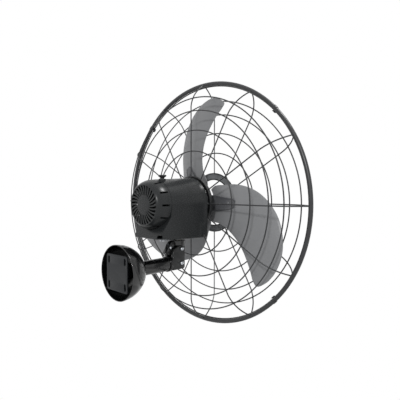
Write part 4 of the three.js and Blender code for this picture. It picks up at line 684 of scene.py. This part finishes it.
def curve_point(corners, share):
    """A place on a smooth centripetal curve through corners."""
    last = len(corners) - 1
    place = min(max(share, 0), 1) * last
    i = min(int(place), last - 1)
    t = place - i
    p1, p2 = Vector(corners[i]), Vector(corners[i + 1])
    p0 = Vector(corners[i - 1]) if i else p1 * 2 - p2
    p3 = Vector(corners[i + 2]) if i + 2 <= last else p2 * 2 - p1
    d1, d2, d3 = (max((b - a).length, 1e-6) ** 0.5 for a, b in ((p0, p1), (p1, p2), (p2, p3)))
    m1 = (p1 - p0) / d1 - (p2 - p0) / (d1 + d2) + (p2 - p1) / d2
    m2 = (p2 - p1) / d2 - (p3 - p1) / (d2 + d3) + (p3 - p2) / d3
    m1, m2 = m1 * d2, m2 * d2
    return ((2 * t ** 3 - 3 * t ** 2 + 1) * p1 + (t ** 3 - 2 * t ** 2 + t) * m1
            + (3 * t ** 2 - 2 * t ** 3) * p2 + (t ** 3 - t ** 2) * m2)


def blade_point(span, chord, behind):
    """A place at a share of the blade's span and chord, so far behind its middle surface."""
    point = curve_point(TRAILING_EDGE, span).lerp(curve_point(LEADING_EDGE, span), chord)
    camber = BLADE_CAMBER * 4 * chord * (1 - chord)
    return polar(point.x, point.y, point.z + camber + behind)


def blade(number):
    """A swept blade of even thickness with thin edges, turned to its place round the hub."""
    rows = []
    for i in range(SPAN_STEPS + 1):
        span = i / SPAN_STEPS
        near_tip = max((span - TIP_START) / (1 - TIP_START), 0)
        draw_in = TIP_ROUNDING * (1 - math.sqrt(1 - near_tip ** 2))
        half = BLADE_THICKNESS / 2 * (END_THICKNESS if i in (0, SPAN_STEPS) else 1)
        front = []
        back = []
        for chord in CHORDS:
            thin = half * (SIDE_THICKNESS if chord in (0, 1) else 1)
            share = draw_in + chord * (1 - 2 * draw_in)
            front.append(blade_point(span, share, thin))
            back.append(blade_point(span, share, -thin))
        rows.append(front + back[::-1])
    obj = loft(f"blade_{number}", rows, paired_ends=True)
    obj.data.transform(Matrix.Rotation(math.radians(-360 / BLADES * (number - 1)), 4, "Y"))
    obj.data.transform(Matrix.Translation(Vector(FAN_CENTRE) * MM))
    return dress(obj, blade_paint, "rotor", "blade_paint", f"blade_{number}", angle=50)


for number in range(1, BLADES + 1):
    blade(number)

SPIDER_ANGLE = -30
SPIDER_PLANE = 9.4
SPIDER_THICKNESS = 2
SPIDER_GAP = 0.6
ARM_LIFT = 50         # radius from which an arm follows the blade
ARM_BEND = 6          # length over which it rises to it
RIVET_RADIUS = 84
# An arm's half width at radii from the hub out, and the bead's height at shares of that half width.
SPIDER_BEAD = {1: 1.2, 0.97: 1.6, 0.9: 1.7, 0.82: 0.8}
SPIDER_ACROSS = [0, 0.25, 0.5, 0.74, 0.82, 0.9, 0.97, 1]
SPIDER_STEPS = 34
SPIDER_ARM = [(20, 15), (34, 21), (50, 20), (72, 16), (98, 12), (103, 8)]


def span_at(radius):
    """The share of the span at which the leading edge has a radius, by halving."""
    low, high = 0.0, 1.0
    for _ in range(30):
        middle = (low + high) / 2
        if curve_point(LEADING_EDGE, middle).x < radius:
            low = middle
        else:
            high = middle
    return low


def chord_at(span, angle):
    """The share of the chord that lies at an angle."""
    start = curve_point(TRAILING_EDGE, span).y
    stop = curve_point(LEADING_EDGE, span).y
    return (angle - start) / (stop - start)


def arm_point(radius, aside, behind):
    """A place on a spider arm: flat near the hub, then along the back of the blade."""
    angle = SPIDER_ANGLE + math.degrees(aside / radius)
    flat = polar(radius, angle, SPIDER_PLANE + behind)
    if radius < ARM_LIFT - ARM_BEND:
        return flat
    span = span_at(max(radius, ARM_LIFT))
    level = BLADE_THICKNESS / 2 + SPIDER_GAP + behind
    middle = blade_point(span, chord_at(span, angle), level)
    on_blade = polar(radius, angle, middle.y)
    return flat.lerp(on_blade, min((radius - ARM_LIFT + ARM_BEND) / ARM_BEND, 1))


def arm_half(radius):
    for (r0, h0), (r1, h1) in zip(SPIDER_ARM, SPIDER_ARM[1:]):
        if radius <= r1:
            return h0 + (h1 - h0) * (radius - r0) / (r1 - r0)
    return SPIDER_ARM[-1][1]


def fan_spider():
    """The pressed spider: a disc and three arms with a raised bead along both edges."""
    across = [-share for share in SPIDER_ACROSS[:0:-1]] + SPIDER_ACROSS
    rows = []
    for i in range(SPIDER_STEPS + 1):
        radius = SPIDER_ARM[0][0] + (SPIDER_ARM[-1][0] - SPIDER_ARM[0][0]) * i / SPIDER_STEPS
        half = arm_half(radius)
        top = [arm_point(radius, share * half, SPIDER_THICKNESS + SPIDER_BEAD.get(abs(share), 0))
               for share in across]
        under = [arm_point(radius, share * half, 0) for share in across]
        rows.append(top + under[::-1])
    arm = loft("spider_arm", rows, paired_ends=True)
    round_axis(arm, BLADES, spider_paint)
    disc = turned("spider_disc", [
        (SPIDER_PLANE, 12.3), (SPIDER_PLANE + SPIDER_THICKNESS, 12.3),
        (SPIDER_PLANE + SPIDER_THICKNESS, 30), (SPIDER_PLANE, 30)], FAN_CENTRE)
    return dress(joined("fan_spider", arm, disc), spider_paint, "rotor", "spider_paint", "fan_spider",
                 angle=40)


fan_spider()


def blade_rivets():
    """Round-headed rivets through the arms, square to the blade."""
    span = span_at(RIVET_RADIUS)
    chord = chord_at(span, SPIDER_ANGLE)
    along = blade_point(span + 0.01, chord, 0) - blade_point(span - 0.01, chord, 0)
    aside = blade_point(span, chord + 0.01, 0) - blade_point(span, chord - 0.01, 0)
    normal = along.cross(aside).normalized()
    if normal.y < 0:
        normal.negate()
    turn = Vector((0, 1, 0)).rotation_difference(normal).to_matrix()
    front = -BLADE_THICKNESS / 2 - GAP
    back = BLADE_THICKNESS / 2 + SPIDER_GAP + SPIDER_THICKNESS + GAP
    dome = [(back + 2 * cos(a), 4.5 * sin(a))
            for a in range(90, -1, -15)]
    profile = [(front - 1, 0), (front - 1, 3), (front, 3.5), (front, 2.5), (back, 2.5), *dome]
    profile[-1] = (profile[-1][0], 0)
    rivet = turned("blade_rivets", profile, blade_point(span, chord, 0), turn, segments=32, edge=0)
    round_axis(rivet, BLADES, spider_paint)
    return dress(rivet, spider_paint, "rotor", "spider_paint",
                 *[f"blade_rivet_{i}" for i in range(1, BLADES + 1)])


blade_rivets()

SEAT = SPIDER_PLANE + SPIDER_THICKNESS + GAP
turned_piece("fan_hub", [
    (24, 6.3), (24, 23), (22, 26), (19, 28), (SEAT, 28), (SEAT, 12), (-4, 12), (-4, 6.3)],
    FAN_CENTRE, spider_paint, "rotor", "spider_paint", edge=0.5)
turned_piece("hub_clamp_ring", [(9.1, 12.3), (9.1, 24), (6.1, 22.5), (6.1, 12.3)],
             FAN_CENTRE, spider_paint, "rotor", "spider_paint", edge=0.5)
turned_piece("hub_cap_nut", [
    (-4.3, 6.3), (-4.3, 10), (-20.3, 10), (-23.5, 8.6), (-25.3, 7), (-26.8, 0), (-24.3, 0), (-24.3, 6.3)],
    FAN_CENTRE, spider_paint, "rotor", "spider_paint", edge=1.0)
turned_piece("motor_shaft", [
    (-24, 0), (-24, 6), (136.5, 6), (136.5, 2.2), (162, 2.2), (162, 0)],
    FAN_CENTRE, turned_steel, "rotor", "steel", segments=48, edge=0.5)

# ---------------- motor case

CASE_FRONT = 57
CASE_BACK = 160
CHIN_BACK = 187
CASE_WALL = 2.5
SKIRT_TOP = 42
SKIRT_BACK = 79
COVER_RADIUS = 55
CHIN_TOP = 26
CHIN_SLOPE = 26 / 47
BEYOND = 90               # further out than any of the case, for what cuts right through it


def mix(a, b, share):
    return a + (b - a) * share


CASE_LIP = 8              # length over which the case flares to its front


def case_section(station, inset):
    """One section of the case: a round top running down into a flat-bottomed box."""
    back = min(max((station - CASE_FRONT - CASE_LIP) / (CASE_BACK - CASE_FRONT - CASE_LIP), 0), 1)
    lip = max(0, 1 - (station - CASE_FRONT) / CASE_LIP)
    radius = mix(mix(60.6, 56.2, back), 62.5, lip) - inset
    share = max((station - CASE_FRONT) / (CHIN_BACK - CASE_FRONT), 0)
    side = mix(62, 42, share ** 1.3) - inset
    bottom = mix(78, 73.5, share ** 2) - inset
    corner = max(4 - inset, 2)
    points = arc((0, 0), radius, -8, 188, 56)
    points += arc((corner - side, corner - bottom), corner, 180, 270, 5)
    points += arc((side - corner, corner - bottom), corner, 270, 360, 5)
    return [Vector((x, station, z)) for x, z in points]


def head_loft(name, sections):
    """A loft through sections about the fan's axis."""
    return loft(name, [[p + Vector(FAN_CENTRE) for p in section] for section in sections])


def case_loft(name, stations, inset):
    return head_loft(name, [case_section(station, inset) for station in stations])


def behind_chin(shift):
    """Everything behind the round part and above the sloping back of the chin."""
    lean = shift * math.hypot(1, CHIN_SLOPE)
    start = CASE_BACK - shift
    bend = -CHIN_TOP + (lean - shift) / CHIN_SLOPE
    outline = [(start, BEYOND), (start, bend), (start + 60 * CHIN_SLOPE, bend - 60),
               (start + BEYOND, bend - 60), (start + BEYOND, BEYOND)]
    return head_loft("behind_chin", [[Vector((x, y, z)) for y, z in outline] for x in (-BEYOND, BEYOND)])


def head_box(name, x0, x1, y0, y1, z0, z1):
    return box(name, x0, x1, y0 + FAN_Y, y1 + FAN_Y, z0 + FAN_Z, z1 + FAN_Z)


def head_rod(name, radius, start, stop, segments=96):
    return turned(name, [(start, 0), (start, radius), (stop, radius), (stop, 0)], FAN_CENTRE,
                  segments=segments, edge=0)


CASE_STATIONS = [CASE_FRONT + i * 2 for i in range(5)] + [72 + i * 9.6 for i in range(12)]
KNOB_PLACE = (-13, FAN_Y + 150.6, FAN_Z)


def motor_housing():
    shell = case_loft("motor_housing", [*CASE_STATIONS, CHIN_BACK], 0)
    room = case_loft("room", [CASE_FRONT - 2, *CASE_STATIONS, CHIN_BACK - CASE_WALL], CASE_WALL)
    carve(room, behind_chin(CASE_WALL))
    skirt = head_box("skirt", -BEYOND, BEYOND, CASE_FRONT - 5, SKIRT_BACK + GAP, -BEYOND, GAP - SKIRT_TOP)
    carve(shell, behind_chin(0), room, skirt,
          head_rod("cover_room", COVER_RADIUS + GAP, CASE_BACK, CASE_BACK + 60),
          head_rod("rear_opening", 50.3, CASE_BACK - 15, CASE_BACK + 5),
          head_box("notch", -45, -34, CHIN_BACK - 11, CHIN_BACK + 3, -90, -65),
          head_box("parting_line_front", -70, -56.9, 123, 142, -1.4, -0.7),
          head_box("parting_line_back", -70, -55.9, 141, 160, -1.4, -0.7),
          turned("knob_hole", [(40, 0), (40, 5), (80, 5), (80, 0)], KNOB_PLACE, "Z", 48, 0))
    soften(shell, 0.5)
    collar = turned("knob_collar", [(52, 5), (52, 8), (57.5, 8), (57.5, 5)], KNOB_PLACE, "Z", 64, 0.8)
    return dress(joined("motor_housing", shell, collar), powder_coat, "head", "housing_paint",
                 "motor_housing")


motor_housing()


POST = polar(60.5, 90, 0)  # the first of three posts that hold the rear centre ring


def front_cover():
    """The flange, the box-shaped skirt below it and the conical boss round the bearing."""
    back = CASE_FRONT - GAP
    front = back - 2.4
    outline = case_section(CASE_FRONT, 0)
    flange = head_loft("flange", [
        [Vector((p.x, station, p.z)) for p in outline] for station in (front, back)])
    near = [station for station in CASE_STATIONS if station < 88]
    skirt = case_loft("skirt", [back - 0.5, *near, 90], 0)
    room = case_loft("room", [back, *near, 95], CASE_WALL)
    carve(skirt, head_box("above", -90, 90, 40, 100, -SKIRT_TOP, 95),
          head_box("behind", -95, 95, SKIRT_BACK, 120, -95, 100), room)
    carve(flange, head_rod("bell_hole", 18.3, 0, 90))
    soften(flange, 0.7)
    soften(skirt, 0.5)
    boss = turned("boss", [(44, 18.3), (44, 21.5), (front + 0.5, 30), (front + 0.5, 18.3)], FAN_CENTRE,
                  edge=1)
    posts = turned("posts", [(45.5, 0), (45.5, 3.5), (back, 3.5), (back, 0)], POST, segments=32)
    round_axis(posts, 3, powder_coat)
    return dress(joined("front_cover", flange, skirt, boss, posts), powder_coat, "head", "housing_paint",
                 "front_cover")


front_cover()

SWIRL_VENTS = 28
VENT_INNER = 21.5
VENT_OUTER = 43
SIDE_VENTS = 12


def rear_cover():
    """The cup behind the case: swirled vents in its end, slots round its side."""
    base = CASE_BACK + GAP
    end = 194.4
    depth = end - base
    bowl = []
    for i in range(17):
        share = math.sin(math.pi / 2 * i / 16)
        bowl.append((base + depth * share, 44.5 + 11.4 * (1 - share ** 2.5) ** 0.7))
    cover = turned("rear_cover", [
        *bowl, (end - 0.8, 43.5), (end - 0.8, 20), (end, 19), (end, 0), (end - 3, 0), (end - 3, 42.5),
        (end - 12, 49.8), (base - 4, 47.8), (base - 4, 50), (base, 50)], FAN_CENTRE, segments=168, edge=0.15)
    sides = [[], []]
    for radius in (VENT_INNER, 26, 31, 36, 40, VENT_OUTER):
        out = (radius - VENT_INNER) / (VENT_OUTER - VENT_INNER)
        middle = math.radians(9) * out ** 1.3
        half = math.pi / SWIRL_VENTS * (0.42 + 0.18 * out)
        for side, angle in zip(sides, (middle - half, middle + half)):
            side.append((radius * math.sin(angle), radius * math.cos(angle)))
    vent = sides[0] + sides[1][::-1]
    swirl = loft("swirls", [[Vector((x, y, z)) for x, z in vent] for y in (end - 8, end + 2)])
    swirls = round_axis(swirl, SWIRL_VENTS, powder_coat)
    slots = round_axis(box("slots", -2.1, 2.1, 165, 184, 40, 70), SIDE_VENTS, powder_coat)
    carve(cover, swirls, slots)
    return dress(cover, powder_coat, "head", "housing_paint", "rear_cover")


rear_cover()


def cover_screws():
    """Pan heads in both sides of the skirt."""
    screws = []
    for side, node in ((-1, "front_cover_screw_left"), (1, "front_cover_screw_right")):
        low, high = node_box(node)
        place = (0, (low.y + high.y) / 2, (low.z + high.z) / 2)
        face = max(abs(low.x), abs(high.x))
        profile = [(side * s, r) for s, r in (
            (face - 10, 0), (face - 10, 1.5), (face - 1.6, 1.5), (face - 1.6, 3), (face - 0.5, 2.6),
            (face, 1.4), (face, 0))]
        screws.append(turned(node, profile, place, "X", 32, 0.2))
    return dress(joined("cover_screws", *screws), black_paint_and_ring_shade, "head", "zinc", "front_cover_screw_left",
                 "front_cover_screw_right")


cover_screws()


def ring_screws():
    """Pan heads that hold the rear centre ring to the posts."""
    back = REAR_PLANE - WIRE - GAP - 2
    screw = turned("ring_screws", [
        (back + 6, 0), (back + 6, 1.5), (back - GAP, 1.5), (back - GAP, 3.2), (back - GAP - 1, 2.8),
        (back - GAP - 1.6, 1.6), (back - GAP - 1.6, 0)], POST, segments=32, edge=0.2)
    round_axis(screw, 3, zinc)
    return dress(screw, zinc, "head", "zinc", "ring_screw_1", "ring_screw_2", "ring_screw_3")


ring_screws()


KNOB_TOP = 66.2
turned_piece("oscillation_knob", [
    (4.3, 0), (4.3, 2.5), (40, 2.5), (40, 4.5), (KNOB_TOP - 6.6, 4.5), (KNOB_TOP - 3.6, 8.5),
    (KNOB_TOP - 1.4, 9.5), (KNOB_TOP, 8.2), (KNOB_TOP - 0.5, 0)],
    KNOB_PLACE, knob_plastic, "knob", "knob_plastic", axis="Z", segments=72, edge=0.6)
# The bell's bearing boss shows in the middle of the front cover; the rest is inside.
turned_piece("front_bell", [
    (36, 6.5), (36, 18), (57, 18), (57, 48.7), (82.7, 48.7), (82.7, 46.3), (77.7, 46.3), (77.7, 44.3),
    (60, 44.3), (60, 14.3), (38, 14.3), (38, 6.5)],
    FAN_CENTRE, cast_alloy, "head", "cast_alloy", edge=0.6)

# ---------------- wall side

CANOPY_RADIUS = 58.5
CANOPY_DEPTH = 61
CANOPY_WALL = 1.6
TUBE_RADIUS = 16
CANOPY_NECK = TUBE_RADIUS + GAP + 2.4


def canopy_line(inset, steps=30):
    """The canopy's quarter ellipse from its rim to its neck."""
    rim = CANOPY_RADIUS - inset
    depth = CANOPY_DEPTH - inset
    stop = math.acos(CANOPY_NECK / rim)
    return [(-depth * math.sin(stop * i / steps), rim * math.cos(stop * i / steps))
            for i in range(steps + 1)]


CANOPY = canopy_line(0)
MOUTH = CANOPY[-1][0]
WALL_CENTRE = (0, 0, 0)
dome = turned("canopy", CANOPY + canopy_line(CANOPY_WALL)[::-1], segments=160, edge=0.5)
dress(dome, gloss_abs, "mount", "canopy_gloss", "canopy", angle=50)
turned_piece("canopy_grommet", [
    (MOUTH + 6, 16.3), (MOUTH + 6, 18.4), (MOUTH - GAP, 18.4), (MOUTH - GAP, 20), (MOUTH - 2, 19.4),
    (MOUTH - 2.4, 16.3)], WALL_CENTRE, rubber, "mount", "grommet_rubber")
turned_piece("arm_tube", [(-3.3, 14), (-3.3, TUBE_RADIUS), (-141, TUBE_RADIUS), (-141, 14)],
             WALL_CENTRE, tube_enamel, "mount", "arm_paint", segments=128)
turned_piece("arm_end_ring", [(-135, 16.3), (-135, 17.9), (-141, 17.9), (-141, 16.3)],
             WALL_CENTRE, tube_enamel, "mount", "arm_paint", segments=128)


def rounded_rectangle(width, height, corner):
    x, y = width / 2 - corner, height / 2 - corner
    return (arc((x, -y), corner, -90, 0, 10) + arc((x, y), corner, 0, 90, 10)
            + arc((-x, y), corner, 90, 180, 10) + arc((-x, -y), corner, 180, 270, 10))


def wall_plate():
    holes = [stadium((x, z - 4.5), (x, z + 4.5), 6) for x in (-28.3, 28.3) for z in (-26, 26)]
    flat = plate("flat", rounded_rectangle(73, 76, 5), -3, 0, "XZ", holes=holes, edge=0.5)
    socket = turned("socket", [(-21, 16.3), (-21, 20.3), (-1.5, 20.3), (-1.5, 16.3)], edge=0.6)
    return dress(joined("wall_plate", flat, socket), plate_coat, "mount", "plate_paint", "wall_plate")


wall_plate()

# ---------------- bracket
# Drawn in Y and Z about the tilt pivot.

LOCK_RISE = 33.8
LOCK = (0, PIVOT_Y, LOCK_RISE)
FORK_SIDE = 14            # from the middle to the fork's outside
BOLT_BORE = 4.3


def arm_fork():
    """Two cheeks with a root between them, on a flange with a plug in the tube."""
    back = 29.5 - GAP
    cheek_back = back - 2
    top = 41
    front = 10.5
    drop = 14
    start = math.degrees(math.acos((cheek_back - 4) / top))
    stop = 180 - math.degrees(math.atan2(math.sqrt(top ** 2 - front ** 2), front))
    outline = ([(cheek_back, -drop), (cheek_back, 24)] + arc((0, 0), top, start, stop, 24)
               + arc((-front + 6, -drop + 6), 6, 180, 270, 10))
    holes = [round_hole(BOLT_BORE), round_hole(BOLT_BORE, (0, LOCK_RISE))]
    cheeks = [plate("cheek", outline, *ends, "YZ", PIVOT, holes, 0.8)
              for ends in ((-FORK_SIDE, -7), (7, FORK_SIDE))]
    root = plate("root", [
        (cheek_back - 4, -drop), (cheek_back, -drop), (cheek_back, drop), (cheek_back - 4, drop)],
        -7.6, 7.6, "YZ", PIVOT, edge=0.4)
    flange = turned("flange", [(back - 4, 0), (back - 4, 16), (back, 16), (back, 0)], PIVOT, edge=0.7)
    plug = turned("plug", [(back - 1, 0), (back - 1, 13.7), (back + 24, 13.7), (back + 24, 0)], PIVOT)
    return dress(joined("arm_fork", *cheeks, root, flange, plug), cast_enamel, "mount", "bracket_paint",
                 "arm_fork")


arm_fork()


def bolt(node, centre):
    """A domed head with a shallow recess, and a shank through the fork."""
    side = FORK_SIDE + GAP
    dome = [(-side - 4.5 * sin(a), 5 * cos(a) ** 0.6)
            for a in range(20, 80, 10)]
    profile = [(23.5, 0), (23.5, 4), (-side, 4), (-side, 5), *dome, (-side - 4.4, 2.2), (-side - 3.6, 1.6),
               (-side - 3.6, 0)]
    return turned_piece(node, profile, centre, zinc, "mount", "zinc", axis="X", segments=48, edge=0.25)


bolt("tilt_pivot_bolt", PIVOT)
bolt("tilt_lock_bolt", LOCK)
HEXAGON = arc((0, 0), 6.5, 0, 300, 5)
nut = plate("tilt_pivot_nut", HEXAGON, FORK_SIDE + GAP, FORK_SIDE + GAP + 6.5, "YZ", PIVOT,
            [round_hole(BOLT_BORE)], 0.4)
dress(nut, zinc, "mount", "zinc", "tilt_pivot_nut", angle=25)


def wing_nut():
    """A hub on the locking bolt with two flat ears, as far out as the CAD node."""
    reach = node_box("tilt_wing_nut")[1].x
    start = FORK_SIDE + GAP
    hub = turned("hub", [
        (start, BOLT_BORE), (start, 6.5), (start + 7.5, 5.6), (start + 7.5, BOLT_BORE)], LOCK, "X", 48, 0.4)
    ear = [(start + 5, 3), (start + 5, 5.5), (start + 7, 10), (reach - 3, 13), (reach - 0.5, 12.4),
           (reach, 10.5), (reach - 2, 8), (start + 8.5, 5), (start + 7.5, 3)]
    wings = []
    for side in (1, -1):
        loop = [(x, side * y) for x, y in ear]
        wings.append(plate("wing", loop[::side], -1.8, 1.8, "XY", LOCK, edge=0.7))
    return dress(joined("tilt_wing_nut", hub, *wings), zinc, "wing_nut", "zinc", "tilt_wing_nut")


wing_nut()

NECK_TOP = 53


def tilt_neck():
    """A tongue with the locking bolt's arc slot and a tail with an eye, under the swivel boss."""
    outline = arc((0, 0), 11, 180, 360, 24) + [
        (14, 6), (20.5, 18), (28.5, 21.2), (42.5, 25), (28.6, 47.5), (24, NECK_TOP - 1.5), (16, NECK_TOP),
        (-11, NECK_TOP)]
    first, last = 90 - 26, 90 + 6
    rise, bore = LOCK_RISE, BOLT_BORE

    def end(angle):
        return (rise * cos(angle), rise * sin(angle))

    slot = (arc((0, 0), rise + bore, first, last, 10) + arc(end(last), bore, last, last + 180, 10)
            + arc((0, 0), rise - bore, last, first, 10) + arc(end(first), bore, first + 180, first + 360, 10))
    holes = [round_hole(bore), slot, stadium((25.8, 39.6), (29, 37), 6)]
    tongue = plate("tongue", outline, -6.5, 6.5, "YZ", PIVOT, holes, 0.8)
    boss = turned("boss", [(42.3, 0), (42.3, 18), (NECK_TOP, 18), (NECK_TOP, 0)], PIVOT, "Z", 96, 1.2)
    return dress(joined("tilt_neck", tongue, boss), tube_enamel, "neck", "bracket_paint", "tilt_neck")


tilt_neck()


def tail_rivet():
    """A round-headed rivet through the eye in the neck's tail."""
    dome = [(-6.7 - 2.2 * sin(a), 4 * cos(a))
            for a in range(0, 90, 15)]
    profile = [(6.7, 0), (6.7, 4), (5, 4), (5, 2.6), (-5, 2.6), (-6.7, 4), *dome[1:], (-8.9, 0)]
    rivet = turned("tail_rivet", profile, (0, PIVOT_Y + 27.4, 38.3), "X", 40, 0)
    return dress(rivet, zinc, "neck", "zinc")


tail_rivet()

# ---------------- oscillation linkage

STUD_OFFSET = 14
CRANK_DISTANCE = 38
LINK_LENGTH = 39.564
CRANK_THROW = 8.643
LINK_ANGLE = math.radians(97.901)
CRANK_ANGLE = math.radians(7.901)
LINK_BOTTOM = NECK_TOP + GAP
LINK_TOP = LINK_BOTTOM + 2
BAR_WIDTH = 8.4
EYE_ROOM = 9.2            # from the eye's middle to that of the bar's round end


def swung(obj, angle, centre):
    """Turns an object drawn at the origin about Z and moves it to its pivot."""
    obj.data.transform(Matrix.Rotation(angle, 4, "Z"))
    obj.data.transform(Matrix.Translation(Vector(centre) * MM))
    return obj


def oscillation_link():
    """A bar bent round the swivel boss. It stops short of the roomy eye's bore, where the pin moves."""
    bend = (12, -8)
    near = plate("near", stadium((0, 0), bend, BAR_WIDTH), LINK_BOTTOM, LINK_TOP, "XY",
                 holes=[round_hole(2.5)], edge=0.3)
    short = EYE_ROOM / math.hypot(LINK_LENGTH - bend[0], bend[1])
    stop = (mix(LINK_LENGTH, bend[0], short), mix(0, bend[1], short))
    far = plate("far", stadium(bend, stop, BAR_WIDTH), LINK_BOTTOM + 0.01, LINK_TOP - 0.01, "XY", edge=0.3)
    eye = turned("eye", [(LINK_BOTTOM, 4.6), (LINK_BOTTOM, 6.7), (LINK_TOP, 6.7), (LINK_TOP, 4.6)],
                 (LINK_LENGTH, 0, 0), "Z", 64, 0.3)
    link = joined("oscillation_link", near, far, eye)
    swung(link, LINK_ANGLE, (STUD_OFFSET, PIVOT_Y, 0))
    return dress(link, zinc, "link", "zinc", "oscillation_link")


oscillation_link()


def oscillation_crank():
    """An arm over the link, with a pin down into its eye and a shaft up to the crank gear."""
    bottom = LINK_TOP + GAP
    arm = plate("arm", stadium((0, 0), (CRANK_THROW, 0), BAR_WIDTH), bottom, bottom + 3, "XY", edge=0.4)
    pin = turned("pin", [
        (LINK_BOTTOM - 0.6, 0), (LINK_BOTTOM - 0.6, 2.2), (bottom + 1, 2.2), (bottom + 1, 0)],
        (CRANK_THROW, 0, 0), "Z", 32, 0.3)
    shaft = turned("shaft", [(bottom + 2, 0), (bottom + 2, 3), (84, 3), (84, 0)], (0, 0, 0), "Z", 32, 0.3)
    crank = joined("oscillation_crank", arm, pin, shaft)
    swung(crank, CRANK_ANGLE, (0, PIVOT_Y + CRANK_DISTANCE, 0))
    return dress(crank, turned_steel, "crank", "steel", "oscillation_crank")


oscillation_crank()


turned_piece("swivel_washer", [
    (LINK_BOTTOM, 5.3), (LINK_BOTTOM, 8.4), (LINK_BOTTOM + 1, 8.4), (LINK_BOTTOM + 1, 5.3)],
    PIVOT, nylon, "neck", "nylon", axis="Z", segments=64, edge=0.2)
turned_piece("link_stud", [
    (NECK_TOP - 4.7, 0), (NECK_TOP - 4.7, 2.2), (LINK_TOP + GAP, 2.2), (LINK_TOP + GAP, 3.6),
    (LINK_TOP + 1, 3.4), (LINK_TOP + 1.7, 2.2), (LINK_TOP + 1.7, 0)],
    (STUD_OFFSET, PIVOT_Y, 0), zinc, "neck", "zinc", axis="Z", segments=40, edge=0.2)

# ---------------- inner pieces that keep their CAD shape

INNER = {
    turned_steel: ["arm_set_screw", "swivel_pin", "front_bearing", "rear_bearing"],
    laminations: ["stator_core", "rotor_core"],
    copper_wire: ["winding_front", "winding_rear"],
    # Painted shade: the bells and the gearbox are painted dark so that the vents show dark inside.
    cast_alloy: ["rear_bell", "gearbox_case", "gearbox_lid"],
    potted: ["capacitor"],
    brass: ["worm", "worm_wheel"],
    nylon: ["crank_gear"],
}
for material, names in INNER.items():
    for name in names:
        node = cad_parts[name]
        node.data.materials.clear()
        node.data.materials.append(material)

# ---------------- stage and light


FLOOR_TOP = -1100
FLOOR_RADIUS = 1250


def pale_floor():
    """A pale round floor well below the fan, out of the photograph's frame."""
    floor = turned("floor", [
        (FLOOR_TOP - 20, 0), (FLOOR_TOP - 20, FLOOR_RADIUS), (FLOOR_TOP, FLOOR_RADIUS), (FLOOR_TOP, 0)],
        (0, FAN_Y, 0), "Z", 96, 0)
    material = finish("pale_studio_floor", "#f2f2f2", "#eeeeee", 400, 5, 0.05, 0.8, 0.05)
    floor.data.materials.append(material)


pale_floor()


SOFT_LIGHT = 0.53         # strength of the light from all round, against 1 for the white that is seen


def studio_world():
    """White for the camera, reflections and what shows through, softer for the light on the fan."""
    world = bpy.data.worlds.new("studio")
    bpy.context.scene.world = world
    world.use_nodes = True
    tree = world.node_tree
    tree.nodes.clear()
    path = add(tree, "ShaderNodeLightPath")
    seen = add(tree, "ShaderNodeMath", {0: path.outputs["Is Camera Ray"], 1: path.outputs["Is Glossy Ray"]},
               operation="MAXIMUM")
    shown = add(tree, "ShaderNodeMath", {0: seen, 1: path.outputs["Is Transmission Ray"]},
                operation="MAXIMUM")
    light = add(tree, "ShaderNodeBackground", {"Color": (1, 1, 1, 1), "Strength": SOFT_LIGHT})
    white = add(tree, "ShaderNodeBackground", {"Color": (1, 1, 1, 1), "Strength": 1.0})
    both = add(tree, "ShaderNodeMixShader", {0: shown, 1: light, 2: white})
    add(tree, "ShaderNodeOutputWorld", {"Surface": both})


studio_world()


HEAD_AIM = Vector((0, -0.2, 0.15))


def lamp(name, kind, place, energy, **settings):
    """A lamp that shines from a place in metres on the fan's head."""
    data = bpy.data.lights.new(name, kind)
    data.energy = energy
    for key, value in settings.items():
        setattr(data, key, value)
    obj = new_object(name, data)
    obj.location = place
    obj.rotation_euler = (HEAD_AIM - Vector(place)).to_track_quat("-Z", "Y").to_euler()


lamp("key", "SUN", (-1.0, 1.5, 1.0), 1.1, angle=math.radians(6))
lamp("top_softbox", "AREA", (-0.59, -0.63, 1.45), 9, shape="DISK", size=0.3)
bpy.context.scene.view_settings.view_transform = "Standard"
